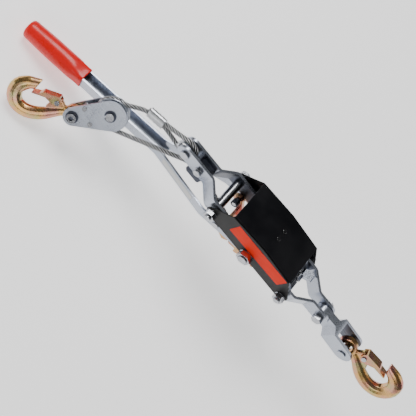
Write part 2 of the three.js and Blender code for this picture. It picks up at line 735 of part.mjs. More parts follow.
function gripSolid() {
  const start = handleLength - gripLength;
  const rings = gripStations.map(([along, halfY, halfZ, square]) => {
    const points = [];
    for (let side = 0; side < gripSides; side += 1) {
      const angle = (side / gripSides) * Math.PI * 2;
      const across = Math.cos(angle);
      const up = Math.sin(angle);
      const reach = (Math.abs(across / halfY) ** square + Math.abs(up / halfZ) ** square) ** (-1 / square);
      points.push(new THREE.Vector3(start + along, across * reach, up * reach));
    }
    return points;
  });
  const body = skin(rings, new THREE.Vector3(start, 0, 0), new THREE.Vector3(handleLength, 0, 0));
  if (body.volume() < 0) throw new Error('the grip is inside out');
  const halfY = handleChannelWidth / 2 + gap;
  const halfZ = handleDepth / 2 + gap;
  return cut(body, box(start - 2, handleLength - gripPocketEnd + gap, -halfY, halfY, -halfZ, halfZ));
}
handle.add(piece('handle_grip', gripSolid(), redVinyl));


// A shoulder rivet in each leg carries one cheek of the drive pawl and leaves the rope free.
function pawlRivet(inner) {
  return join(
    bar(drivePawlPinRadius, inner, legOutside + gap + 0.5, drivePawlPivotRadius, 0),
    bar(drivePawlPinRadius + 1.8, legOutside + gap, legOutside + gap + 1.4, drivePawlPivotRadius, 0),
  );
}
handle.add(piece('near_pawl_rivet', pawlRivet(ratchetInner - 1.4), brightZinc));
handle.add(piece('far_pawl_rivet', mirrorY(pawlRivet(springSeat)), brightZinc));
const driveSpring = torsionSpring(
  drivePawlPinRadius + 1.5, -ratchetInner + 2.4, -springSeat, 5, drivePawlPivotRadius, 0,
);
handle.add(piece('drive_pawl_spring', driveSpring, brightZinc));

// ================================================================ rope runs
// The point where a line from outside touches a circle, in the circle's own plane.
function tangentPoint(outside, radius, side) {
  const distance = outside.length();
  const base = Math.atan2(outside.y, outside.x);
  const turn = Math.acos(radius / distance);
  const angle = base + side * turn;
  return new THREE.Vector2(Math.cos(angle) * radius, Math.sin(angle) * radius);
}

const block = placed('pulley_block', sheaveCentre, blockLong, blockAxle);
winch.add(block);
block.updateMatrix();
const toBlock = block.matrix.clone().invert();

function inBlockPlane(point) {
  const local = point.clone().applyMatrix4(toBlock);
  return new THREE.Vector2(local.x, local.z);
}

function fromBlockPlane(point) {
  return new THREE.Vector3(point.x, 0, point.y).applyMatrix4(block.matrix);
}

const guideMouth = new THREE.Vector3(-guideFront - guideLength - 6, -1.5, ropeRunHeight - 1.6);
const lowerTangent = tangentPoint(inBlockPlane(guideMouth), ropePitchRadius, 1);
const headRivet = new THREE.Vector3(-headRivetX, 0, 0);
const upperTangent = tangentPoint(inBlockPlane(headRivet), ropePitchRadius, -1);
const lowerPoint = fromBlockPlane(lowerTangent);
const upperPoint = fromBlockPlane(upperTangent);
const returnWay = upperPoint.clone().sub(headRivet).setY(0).normalize();

// The loaded eye bears on the side of the rivet away from the sheave.
const eyeCentre = headRivet.clone().addScaledVector(returnWay, thimbleInside - headRivetRadius - gap);

function alongReturn(distance) {
  return eyeCentre.clone().addScaledVector(returnWay, distance);
}

const drumRun = new THREE.CatmullRomCurve3([
  new THREE.Vector3(0, -windHalf, -windRadius),
  new THREE.Vector3(-14, -windHalf + 0.4, -windRadius),
  new THREE.Vector3(-60, -5, -windRadius),
  new THREE.Vector3(-guideFront + 6, -0.4, ropeRunHeight),
  new THREE.Vector3(-guideFront - guideLength, -0.2, ropeRunHeight),
  guideMouth,
  guideMouth.clone().lerp(lowerPoint, 0.25),
  guideMouth.clone().lerp(lowerPoint, 0.97),
]);
winch.add(piece('rope_drum_run', tube(drumRun, ropeRadius, 34), wireRope));

const lowerAngle = Math.atan2(lowerTangent.y, lowerTangent.x);
const upperAngle = Math.atan2(upperTangent.y, upperTangent.x);

class Bight extends THREE.Curve {
  getPoint(t, target = new THREE.Vector3()) {
    let sweep = upperAngle - lowerAngle;
    if (sweep < 0) sweep += Math.PI * 2;
    const angle = lowerAngle + sweep * t;
    return target.set(Math.cos(angle) * ropePitchRadius, 0, Math.sin(angle) * ropePitchRadius);
  }
}
block.add(piece('rope_sheave_bight', tube(new Bight(), ropeRadius, 22), wireRope));

const ferruleEnd = ferruleStart + ferruleLength;
const upperWay = fromBlockPlane(new THREE.Vector2(upperTangent.y, -upperTangent.x));
upperWay.sub(sheaveCentre).normalize();
const returnEnd = upperPoint.clone().addScaledVector(upperWay, -0.6);
const returnRun = new THREE.CubicBezierCurve3(
  alongReturn(ferruleEnd + gap),
  alongReturn(ferruleEnd + 10),
  returnEnd.clone().addScaledVector(upperWay, -12),
  returnEnd,
);
winch.add(piece('rope_return_run', tube(returnRun, ropeRadius, 9), wireRope));

// The eye lies in the plane of the return run, round the thimble.
const eye = placed('eye', eyeCentre, returnWay, new THREE.Vector3(0, 1, 0));
winch.add(eye);
const eyeRadius = thimbleInside + thimbleWall + ropeRadius + gap;
const throatX = ferruleStart - 2;

function eyePoint(degrees) {
  const point = polar(eyeRadius, degrees);
  return new THREE.Vector3(point.x, 0, point.y);
}
const tailSide = -(2 * ropeRadius + gap);
const eyeCurve = new THREE.CatmullRomCurve3([
  new THREE.Vector3(ferruleEnd, 0, 0),
  new THREE.Vector3(throatX + 8, 0, 0),
  new THREE.Vector3(throatX, 0, 0.3),
  eyePoint(52),
  eyePoint(90),
  eyePoint(135),
  eyePoint(180),
  eyePoint(225),
  eyePoint(270),
  eyePoint(306),
  new THREE.Vector3(throatX, 0, tailSide - 0.3),
  new THREE.Vector3(throatX + 8, 0, tailSide),
  new THREE.Vector3(ferruleEnd + 2, 0, tailSide),
]);
eye.add(piece('rope_eye', tube(eyeCurve, ropeRadius, 44), wireRope));

// An oval pressed sleeve round both parts of the rope.
function ovalShape(wall) {
  const radius = ropeRadius + wall;
  const shape = new THREE.Shape();
  shape.absarc(0, 0, radius, 0, Math.PI, false);
  shape.absarc(0, tailSide, radius, Math.PI, Math.PI * 2, false);
  return shape;
}

function ferruleSolid() {
  const options = { depth: ferruleLength, bevelEnabled: false, curveSegments: 9 };
  const outer = new THREE.ExtrudeGeometry(ovalShape(ferruleWall), options);
  const inner = new THREE.ExtrudeGeometry(ovalShape(gap), { ...options, depth: ferruleLength + 4 });
  inner.translate(0, 0, -2);
  return toSolid(outer).subtract(toSolid(inner)).rotate([0, 90, 0]).rotate([90, 0, 0]);
}
eye.add(piece('ferrule', ferruleSolid().translate([ferruleStart, 0, 0]), aluminium));

function thimbleSolid() {
  const groove = [
    [thimbleInside, -3.6], [thimbleInside + thimbleWall + 1.6, -3.6], [thimbleInside + thimbleWall, -1.6],
    [thimbleInside + thimbleWall, 1.6], [thimbleInside + thimbleWall + 1.6, 3.6], [thimbleInside, 3.6],
    [thimbleInside, -3.6],
  ];
  return turned(groove, 26);
}
const ropeClear = tube(eyeCurve, ropeRadius + gap, 44);
const thimbleMouth = box(thimbleInside * 0.7, thimbleInside * 3, -6, 6, -3.4, 3.4);
eye.add(piece('thimble', cut(thimbleSolid(), ropeClear, thimbleMouth), brightZinc));

// ================================================================ pulley block
function cheekShape() {
  const lean = Math.asin((cheekBigRadius - cheekSmallRadius) / blockPitch);
  const shape = new THREE.Shape();
  shape.absarc(0, 0, cheekBigRadius, Math.PI / 2 - lean, Math.PI * 1.5 + lean, false);
  shape.absarc(blockPitch, 0, cheekSmallRadius, -Math.PI / 2 + lean, Math.PI / 2 - lean, false);
  return shape;
}

const spacerPlaces = [[29, 9.6], [25, -9.4]];
const cheekInner = cheekInside / 2;
const cheekOuter = cheekInner + cheekThickness;
const cheek = cut(
  sidePlate(cheekShape(), cheekInner, cheekOuter),
  bar(sheavePinRadius + gap, 0, cheekOuter + 1, 0, 0),
  bar(hookBoltRadius + gap, 0, cheekOuter + 1, blockPitch, 0),
  ...spacerPlaces.map(([x, z]) => bar(spacerRadius + gap, 0, cheekOuter + 1, x, z)),
);
block.add(piece('near_cheek', cheek, zinc));
block.add(piece('far_cheek', mirrorY(cheek), zinc));

const grooveRadius = ropePitchRadius - ropeRadius - gap;
const halfSheave = sheaveWidth / 2;
const sheaveProfile = [
  [sheavePinRadius + runFit, -halfSheave], [sheaveFlangeRadius - 0.6, -halfSheave],
  [sheaveFlangeRadius, -halfSheave + 0.6], [sheaveFlangeRadius, -ropeRadius - 1],
  [grooveRadius + 3, -ropeRadius - 0.4], [grooveRadius + 0.9, -2.4], [grooveRadius, -1],
  [grooveRadius, 1], [grooveRadius + 0.9, 2.4], [grooveRadius + 3, ropeRadius + 0.4],
  [sheaveFlangeRadius, ropeRadius + 1], [sheaveFlangeRadius, halfSheave - 0.6],
  [sheaveFlangeRadius - 0.6, halfSheave], [sheavePinRadius + runFit, halfSheave],
  [sheavePinRadius + runFit, -halfSheave],
];
block.add(piece('sheave', turned(sheaveProfile, 32), zinc));

const ringSeat = cheekOuter + gap;
const ringThickness = 1.1;
const sheavePin = cut(
  bar(sheavePinRadius, -ringSeat - ringThickness - 3, ringSeat + ringThickness + 3, 0, 0, 24),
  ringGroove(-1),
  ringGroove(1),
);
block.add(piece('sheave_pin', sheavePin, brightZinc));

function ringGroove(side) {
  const from = side > 0 ? ringSeat - 0.1 : -ringSeat - ringThickness - 0.1;
  const outer = bar(sheavePinRadius + 1, from, from + ringThickness + 0.2, 0, 0, 24);
  return outer.subtract(bar(sheavePinRadius - 0.7, from - 1, from + ringThickness + 1, 0, 0, 24));
}

function retainingRing(side) {
  const from = side > 0 ? ringSeat : -ringSeat - ringThickness;
  const ring = cut(
    bar(sheavePinRadius + 2.1, from, from + ringThickness, 0, 0, 26),
    bar(sheavePinRadius - 0.4, from - 1, from + ringThickness + 1, 0, 0, 24),
    box(1, 12, from - 1, from + ringThickness + 1, -1.6, 1.6),
  );
  return ring;
}
block.add(piece('near_retaining_ring', retainingRing(1), darkSteel));
block.add(piece('far_retaining_ring', retainingRing(-1), darkSteel));

// Socket head bolt that carries the hook's eye.
const washerSeat = cheekOuter + gap;
const hookBoltSeat = washerSeat + hookWasherThickness + gap;
const hookBolt = cut(
  join(
    bar(hookBoltRadius, -washerSeat - 7, hookBoltSeat + 0.5, blockPitch, 0),
    bar(hookBoltHeadRadius, hookBoltSeat, hookBoltSeat + hookBoltHeadHeight, blockPitch, 0, 24),
  ),
  hexagon(
    hookBoltSocket, hookBoltSeat + hookBoltHeadHeight * 0.4, hookBoltSeat + hookBoltHeadHeight + 1,
    blockPitch, 0,
  ),
);
block.add(piece('hook_bolt', hookBolt, brightZinc));
block.add(piece('hook_bolt_washer', cut(
  bar(hookWasherRadius, washerSeat, washerSeat + hookWasherThickness, blockPitch, 0, 26),
  bar(hookBoltRadius + gap, washerSeat - 1, hookBoltSeat, blockPitch, 0),
), darkSteel));
const hookNut = mirrorY(lockNut(hookBoltRadius, hookBoltNutAcross, 6, cheekOuter, blockPitch));
block.add(piece('hook_bolt_nut', hookNut, brightZinc));
spacerPlaces.forEach(([x, z], index) => {
  const spacer = join(
    bar(spacerRadius, -cheekOuter - gap - 0.5, cheekOuter + gap + 0.5, x, z, 14),
    bar(spacerRadius + 1.1, -cheekInner + gap, cheekInner - gap, x, z, 16),
    bar(spacerRadius + 0.9, -cheekOuter - gap - 0.9, -cheekOuter - gap, x, z, 14),
    bar(spacerRadius + 0.9, cheekOuter + gap, cheekOuter + gap + 0.9, x, z, 14),
  );
  block.add(piece(index === 0 ? 'upper_cheek_spacer' : 'lower_cheek_spacer', spacer, zinc));
});

// ================================================================ hooks
// Middle line of the forged hook from its eye: along, across, half width in plane, half thickness.
const hookStations = [
  [7, 0, 6, 4], [14, -0.8, 5.6, 4.6], [23, -4.8, 6.4, 5.4], [33.5, -9.6, 7.8, 6.4], [45, -13, 8.4, 7],
  [57, -13, 8.8, 7.4], [67.6, -7.4, 9.3, 7.8], [72, 3.8, 9.8, 8], [68.4, 14.6, 9.6, 7.6],
  [60, 20.6, 8.3, 6.8], [52, 22.4, 7.2, 6], [45, 23.2, 6.6, 5.2], [40, 24, 6.2, 4.8],
];
const beakOutline = [[30, 34], [42.5, 34], [43.6, 28], [51.2, 13.2], [48, 8], [30, 8]];   // cut off the tip
const hookRings = 30;
const hookSides = 12;
const latchPivot = new THREE.Vector2(20.6, 9.4);
const latchBossRadius = 4.4;
const latchBossHalf = 2.9;
const saddleWidth = 8;
const saddleX = 63.4;                 // eye centre to the flat in the bowl
const lugOutline = [[9, 4], [16, 13.8], [23, 13.6], [28, 9.4], [34, 0], [21, -5]];

const lugShape = new THREE.Shape(lugOutline.map(([x, z]) => new THREE.Vector2(x, z)));
const beakShape = new THREE.Shape(beakOutline.map(([x, z]) => new THREE.Vector2(x, z)));

function hookSolid() {
  const middle = new THREE.CatmullRomCurve3(hookStations.map(([x, z]) => new THREE.Vector3(x, 0, z)));
  const sizePoints = hookStations.map(([, , wide, thick]) => new THREE.Vector3(wide, thick, 0));
  const sizes = new THREE.CatmullRomCurve3(sizePoints);
  const up = new THREE.Vector3(0, 1, 0);
  const rings = [];
  for (let ring = 0; ring <= hookRings; ring += 1) {
    const t = ring / hookRings;
    const centre = middle.getPoint(t);
    const along = middle.getTangent(t);
    const across = new THREE.Vector3().crossVectors(up, along).normalize();
    const size = sizes.getPoint(t);
    const points = [];
    for (let side = 0; side < hookSides; side += 1) {
      const angle = (side / hookSides) * Math.PI * 2;
      const point = centre.clone();
      point.addScaledVector(across, Math.cos(angle) * size.x);
      point.addScaledVector(up, Math.sin(angle) * size.y);
      points.push(point);
    }
    rings.push(points);
  }
  const first = middle.getPoint(0);
  const last = middle.getPoint(1).addScaledVector(middle.getTangent(1), 2.2);
  let body = skin(rings, first, last);
  if (body.volume() < 0) throw new Error('the hook is inside out');
  const half = hookEyeThickness / 2;
  body = join(
    cut(body, sidePlate(beakShape, -12, 12)),
    bar(hookEyeRadius, -half, half, 0, 0, 28),
    bar(latchBossRadius, -latchBossHalf, latchBossHalf, latchPivot.x, latchPivot.y, 18),
    sidePlate(lugShape, -latchBossHalf, latchBossHalf),
  );
  const saddle = box(saddleX - 22, saddleX, -saddleWidth / 2, saddleWidth / 2, -2, 9.4);
  return cut(
    body,
    bar(hookEyeHole, -half - 1, half + 1, 0, 0, 24),
    bar(latchRivetRadius + gap, -8, 8, latchPivot.x, latchPivot.y, 14),
    box(latchPivot.x - 7, latchPivot.x + 9, latchBossHalf, 12, latchPivot.y - 6.6, latchPivot.y + 8),
    box(latchPivot.x - 7, latchPivot.x + 9, -12, -latchBossHalf, latchPivot.y - 6.6, latchPivot.y + 8),
    saddle,
  );
}

// A folded sheet latch along +X from its rivet.
function latchSolid() {
  const half = latchWidth / 2;
  const cheeks = new THREE.Shape();
  cheeks.moveTo(-3.2, -3.4);
  cheeks.lineTo(6, -3.4);
  cheeks.lineTo(15, 1);
  cheeks.lineTo(latchLength, latchTip - 1.6);
  cheeks.lineTo(latchLength, latchTip);
  cheeks.lineTo(latchShoulder + 4, latchTip + 1.4);
  cheeks.lineTo(latchShoulder, latchRoof - 1);
  cheeks.lineTo(-1, latchRoof);
  cheeks.lineTo(-4.6, 3);
  const inside = new THREE.Shape();
  inside.moveTo(-8, -8);
  inside.lineTo(latchLength + 1, -8);
  inside.lineTo(latchLength + 1, latchTip - latchSheet);
  inside.lineTo(latchShoulder + 4, latchTip + 1.4 - latchSheet);
  inside.lineTo(latchShoulder, latchRoof - 1 - latchSheet);
  inside.lineTo(-8, latchRoof - latchSheet);
  return cut(
    sidePlate(cheeks, -half, half),
    sidePlate(inside, -half + latchSheet, half - latchSheet),
    bar(latchRivetRadius + gap, -half - 1, half + 1, 0, 0, 14),
  );
}

function latchRivetSolid() {
  const half = latchWidth / 2 + gap;
  return join(
    bar(latchRivetRadius, -half - 0.4, half + 0.4, 0, 0, 14),
    bar(latchRivetRadius + 1.3, -half - 1.1, -half, 0, 0, 14),
    bar(latchRivetRadius + 1.3, half, half + 1.1, 0, 0, 14),
  );
}

function addHook(parent, prefix, origin, along, normal) {
  const hookGroup = placed(`${prefix}_hook_group`, origin, along, normal);
  hookGroup.add(piece(`${prefix}_hook`, hookSolid(), gold));
  const latchGroup = placed(
    `${prefix}_latch_group`,
    new THREE.Vector3(latchPivot.x, 0, latchPivot.y),
    new THREE.Vector3(Math.cos(latchAngle), 0, Math.sin(latchAngle)),
    new THREE.Vector3(0, 1, 0),
  );
  latchGroup.add(piece(`${prefix}_latch`, latchSolid(), gold));
  latchGroup.add(piece(`${prefix}_latch_rivet`, latchRivetSolid(), brightZinc));
  const coil = new Coil(latchRivetRadius + 0.9, latchBossHalf + 0.5, latchWidth / 2 - latchSheet - 0.5, 1.6);
  latchGroup.add(piece(`${prefix}_latch_spring`, tube(coil, 0.35, 18, 6), brightZinc));
  hookGroup.add(latchGroup);
  parent.add(hookGroup);
  return hookGroup;
}

// In a hook's own frame X runs from the eye to the bowl and +Z toward the tip.
addHook(
  block,
  'load',
  new THREE.Vector3(blockPitch, 0, 0),
  new THREE.Vector3(Math.cos(loadHookTurn), 0, Math.sin(loadHookTurn)),
  new THREE.Vector3(0, 1, 0),
);
const anchorEnd = placed(
  'anchor_end',
  new THREE.Vector3(yokeBoltX, 0, 0),
  new THREE.Vector3(Math.cos(clevisTilt), 0, Math.sin(clevisTilt)),
  new THREE.Vector3(0, 1, 0),
);
winch.add(anchorEnd);
const hookFall = anchorHookTurn + clevisTilt;
const anchorHookGroup = addHook(
  anchorEnd,
  'anchor',
  new THREE.Vector3(clevisPinX, 0, 0),
  new THREE.Vector3(Math.cos(hookFall), 0, -Math.sin(hookFall)),
  new THREE.Vector3(0, Math.cos(anchorHookRoll), -Math.sin(anchorHookRoll)),
);
anchorHookGroup.scale.setScalar(anchorHookSize);

// ================================================================ anchor clevis
function clevisSolid() {
  const half = clevisWidth / 2;
  const innerHalf = clevisInside / 2;
  const outerHalf = innerHalf + clevisSheet;
  const tongueHalf = clevisTongue / 2;
  const side = new THREE.Shape();
  side.absarc(0, 0, tongueRadius, Math.PI * 0.5, Math.PI * 1.5, false);
  side.lineTo(clevisWebX, -half);
  side.lineTo(clevisPinX, -half);
  side.absarc(clevisPinX, 0, half, -Math.PI / 2, Math.PI / 2, false);
  side.lineTo(clevisWebX, half);
  const plan = new THREE.Shape();
  plan.moveTo(-tongueRadius - 1, -tongueHalf);
  plan.lineTo(clevisWebX - 6, -tongueHalf);
  plan.lineTo(clevisWebX, -outerHalf);
  plan.lineTo(clevisPinX + half + 1, -outerHalf);
  plan.lineTo(clevisPinX + half + 1, -innerHalf);
  plan.lineTo(clevisWebX + clevisSheet, -innerHalf);
  plan.lineTo(clevisWebX + clevisSheet, innerHalf);
  plan.lineTo(clevisPinX + half + 1, innerHalf);
  plan.lineTo(clevisPinX + half + 1, outerHalf);
  plan.lineTo(clevisWebX, outerHalf);
  plan.lineTo(clevisWebX - 6, tongueHalf);
  plan.lineTo(-tongueRadius - 1, tongueHalf);
  const ribbon = flatPlate(plan, -half - 1, half + 1);
  const blank = ribbon.intersect(sidePlate(side, -outerHalf - 1, outerHalf + 1));
  return cut(
    blank,
    bar(yokeBoltRadius + runFit, -outerHalf, outerHalf, 0, 0),
    bar(clevisPinRadius + gap, -outerHalf - 1, outerHalf + 1, clevisPinX, 0),
  );
}
anchorEnd.add(piece('anchor_clevis', clevisSolid(), zinc));

const yokeBolt = join(
  bar(yokeBoltRadius, -headOutside - 0.5, headOutside + 7, yokeBoltX, 0),
  bar(7, -headOutside - gap - 1.2, -headOutside - gap, yokeBoltX, 0, 22),
  hexagon(12, -headOutside - gap - 6, -headOutside - gap - 1.1, yokeBoltX, 0),
);
winch.add(piece('yoke_bolt', yokeBolt, brightZinc));
winch.add(piece('yoke_nut', lockNut(yokeBoltRadius, 12, 6, headOutside, yokeBoltX), brightZinc));
const clevisOutside = clevisInside / 2 + clevisSheet;
anchorEnd.add(piece('clevis_pin', join(
  bar(clevisPinRadius, -clevisOutside - gap - 0.5, clevisOutside + gap + 0.5, clevisPinX, 0),
  bar(clevisPinRadius + 1.6, -clevisOutside - gap - 1.6, -clevisOutside - gap, clevisPinX, 0),
  bar(clevisPinRadius + 1.6, clevisOutside + gap, clevisOutside + gap + 1.6, clevisPinX, 0),
), zinc));

// ================================================================ stand it on the ground
winch.updateMatrixWorld(true);
const bounds = new THREE.Box3().setFromObject(winch, true);
const middle = bounds.getCenter(new THREE.Vector3());
winch.position.set(-middle.x, -middle.y, -bounds.min.z);

export default winch;
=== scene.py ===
# %% [markdown]
# # A come along winch
# A come along winch is a hand ratchet that drags a load along on a wire rope. Two pressed steel
# strips carry a drum, a long handle turns it one tooth at a time, and a pulley block doubles the
# pull. This lesson dresses its packed steel model: soft edges, real wire rope, plated and painted
# finishes, a floor and lights. We load the model first and note how large it is.

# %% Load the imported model
import json
import math

import bpy
from mathutils import Matrix, Vector


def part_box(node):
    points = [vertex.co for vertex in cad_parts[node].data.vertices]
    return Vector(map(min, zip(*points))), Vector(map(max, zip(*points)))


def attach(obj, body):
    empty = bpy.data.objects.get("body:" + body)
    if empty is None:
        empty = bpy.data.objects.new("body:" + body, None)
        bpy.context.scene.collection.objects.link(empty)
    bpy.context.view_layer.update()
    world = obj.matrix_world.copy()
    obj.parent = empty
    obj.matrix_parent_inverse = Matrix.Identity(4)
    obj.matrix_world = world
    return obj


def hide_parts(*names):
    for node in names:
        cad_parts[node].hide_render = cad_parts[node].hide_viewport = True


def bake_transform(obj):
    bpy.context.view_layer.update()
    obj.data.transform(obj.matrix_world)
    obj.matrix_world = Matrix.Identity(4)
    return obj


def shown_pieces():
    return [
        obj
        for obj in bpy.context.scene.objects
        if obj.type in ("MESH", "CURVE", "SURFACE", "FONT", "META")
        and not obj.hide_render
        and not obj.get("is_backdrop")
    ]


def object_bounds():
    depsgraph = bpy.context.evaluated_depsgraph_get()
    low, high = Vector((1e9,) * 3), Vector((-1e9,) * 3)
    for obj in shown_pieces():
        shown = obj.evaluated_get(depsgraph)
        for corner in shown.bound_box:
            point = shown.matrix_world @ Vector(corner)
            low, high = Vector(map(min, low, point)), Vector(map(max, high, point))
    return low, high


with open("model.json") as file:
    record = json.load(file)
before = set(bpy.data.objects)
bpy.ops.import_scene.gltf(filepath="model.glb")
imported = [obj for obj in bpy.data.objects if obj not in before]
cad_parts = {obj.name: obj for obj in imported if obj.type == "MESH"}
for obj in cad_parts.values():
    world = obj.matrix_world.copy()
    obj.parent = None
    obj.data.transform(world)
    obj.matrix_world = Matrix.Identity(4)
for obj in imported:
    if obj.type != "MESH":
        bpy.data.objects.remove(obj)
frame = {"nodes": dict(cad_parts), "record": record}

cad_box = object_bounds()
print("model box", [round(v, 4) for corner in cad_box for v in corner])

# %% [markdown]
# All of the winch's own sizes are easiest to think of from the middle of the drum axle, in
# millimetres. One small helper turns such a place into the scene's metres.

# %% A helper for places
MM = 0.001


def middle_of(node):
    low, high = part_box(node)
    return (Vector(low) + Vector(high)) / 2


axle = Vector((
    middle_of("drum_barrel").x,
    (middle_of("near_side_strip").y + middle_of("far_side_strip").y) / 2,
    middle_of("drum_barrel").z,
))


def place(x, y, z):
    """A point in millimetres from the drum axle, as metres in the scene."""
    return axle + Vector((x, y, z)) * MM


print("axle at", [round(v, 4) for v in axle])

# %% [markdown]
# ## The camera and the light
# The winch is seen from above and from its label side, with the camera rolled so that it lies
# corner to corner. The camera could be aimed with a track-to constraint, but that keeps it level.
# So it is given by three directions, its right, its up and its back, which make its rotation.

# %% Camera
camera_right = Vector((0.619472, 0.583813, 0.524802))
camera_up = Vector((-0.748326, 0.641161, 0.170062))
camera_back = Vector((-0.237199, -0.498071, 0.834063))
camera_stand = place(-344.6, -602.3, 957.1)
camera_data = bpy.data.cameras.new("camera")
camera_data.sensor_width = 36
camera_data.lens = 86.8
camera_data.clip_start = 0.05
camera = bpy.data.objects.new("camera", camera_data)
bpy.context.scene.collection.objects.link(camera)
turn = Matrix((camera_right, camera_up, camera_back)).transposed()
camera.rotation_mode = "QUATERNION"
camera.rotation_quaternion = turn.to_quaternion()
camera.location = camera_stand
bpy.context.scene.camera = camera
print("camera", round((camera_stand - axle).length, 2), "m from the axle, lens", camera_data.lens)

# %% [markdown]
# The winch lies on a pale table. A curved backdrop would hide the horizon, but this camera looks
# down and never sees one, so one flat plane does. It glows a little, which keeps the shadows soft.
# It is marked as stage, because it is no part of the winch.

# %% Floor
floor_height = -0.0005
bpy.ops.object.select_all(action="DESELECT")
bpy.ops.mesh.primitive_plane_add(size=6, location=(0, 0, floor_height))
floor = bpy.context.active_object
floor.name = "floor"
floor_finish = bpy.data.materials.new("studio_floor")
floor_finish.use_nodes = True
floor_shader = floor_finish.node_tree.nodes["Principled BSDF"]
floor_shader.inputs["Base Color"].default_value = (0.97, 0.97, 0.97, 1)
floor_shader.inputs["Roughness"].default_value = 0.9
floor_shader.inputs["Specular IOR Level"].default_value = 0.1
floor_shader.inputs["Emission Color"].default_value = (1, 1, 1, 1)
floor_shader.inputs["Emission Strength"].default_value = 0.8
floor.data.materials.append(floor_finish)
floor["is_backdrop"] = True

# %% [markdown]
# Bare metal shows only what it mirrors. One small lamp would give it hard white dots, so three
# wide panels of light stand round the winch: the key high over the pulley end, a fill on the label
# side and a rim light beyond the anchor hook.

# %% Lights
def soft_light(name, position, size, power):
    """A wide panel of light that faces the middle of the floor."""
    data = bpy.data.lights.new(name, "AREA")
    data.shape = "RECTANGLE"
    data.size, data.size_y = size
    data.energy = power
    light = bpy.data.objects.new(name, data)
    bpy.context.scene.collection.objects.link(light)
    light.location = position
    light.rotation_mode = "QUATERNION"
    light.rotation_quaternion = (-position).to_track_quat("-Z", "Y")
    return light


soft_light("key_light", Vector((-0.9, 0.5, 1.5)), (0.9, 0.9), 24)
soft_light("fill_light", Vector((0.2, -1.6, 0.9)), (1.6, 0.8), 9)
soft_light("rim_light", Vector((1.4, 0.6, 0.8)), (0.8, 1.4), 5)
world = bpy.data.worlds.new("studio")
bpy.context.scene.world = world
world.use_nodes = True
world.node_tree.nodes["Background"].inputs["Color"].default_value = (1, 1, 1, 1)
world.node_tree.nodes["Background"].inputs["Strength"].default_value = 0.12

# %% [markdown]
# ## Finishes as node groups
# Nearly every surface here is plated steel: slow clouds in the colour, a fine grain in the
# roughness and a few drawn scratches. Each material could hold its own copy of those nodes, but
# then every change is made ten times. So the effect is built once as a shader node group with
# named inputs, and each material sets its own values on it.

# %% Tools for node groups
def new_group(name, inputs, outputs):
    """A shader node group with sockets made from (name, kind, value) and (name, kind) lists."""
    group = bpy.data.node_groups.new(name, "ShaderNodeTree")
    for label, kind, value in inputs:
        socket = group.interface.new_socket(label, in_out="INPUT", socket_type=kind)
        socket.default_value = value
    for label, kind in outputs:
        group.interface.new_socket(label, in_out="OUTPUT", socket_type=kind)
    start = group.nodes.new("NodeGroupInput")
    end = group.nodes.new("NodeGroupOutput")
    return group, start, end


def noise(tree, vector, scale, detail=3, rough=0.55):
    """Clouds from 0 to 1; the scale is a number or a socket."""
    node = tree.nodes.new("ShaderNodeTexNoise")
    node.inputs["Detail"].default_value = detail
    node.inputs["Roughness"].default_value = rough
    tree.links.new(vector, node.inputs["Vector"])
    if isinstance(scale, (int, float)):
        node.inputs["Scale"].default_value = scale
    else:
        tree.links.new(scale, node.inputs["Scale"])
    return node.outputs["Fac"]


def map_range(tree, value, low, high, new_low=0.0, new_high=1.0):
    node = tree.nodes.new("ShaderNodeMapRange")
    tree.links.new(value, node.inputs["Value"])
    for label, number in (("From Min", low), ("From Max", high), ("To Min", new_low), ("To Max", new_high)):
        if isinstance(number, (int, float)):
            node.inputs[label].default_value = number
        else:
            tree.links.new(number, node.inputs[label])
    return node.outputs["Result"]


def mix_colour(tree, amount, first, second):
    node = tree.nodes.new("ShaderNodeMix")
    node.data_type = "RGBA"
    for socket, value in ((node.inputs[0], amount), (node.inputs[6], first), (node.inputs[7], second)):
        if isinstance(value, (int, float)):
            socket.default_value = value
        elif isinstance(value, tuple):
            socket.default_value = (*value, 1)
        else:
            tree.links.new(value, socket)
    return node.outputs[2]


def maths(tree, operation, first, second):
    node = tree.nodes.new("ShaderNodeMath")
    node.operation = operation
    for socket, value in ((node.inputs[0], first), (node.inputs[1], second)):
        if isinstance(value, (int, float)):
            socket.default_value = value
        else:
            tree.links.new(value, socket)
    return node.outputs[0]


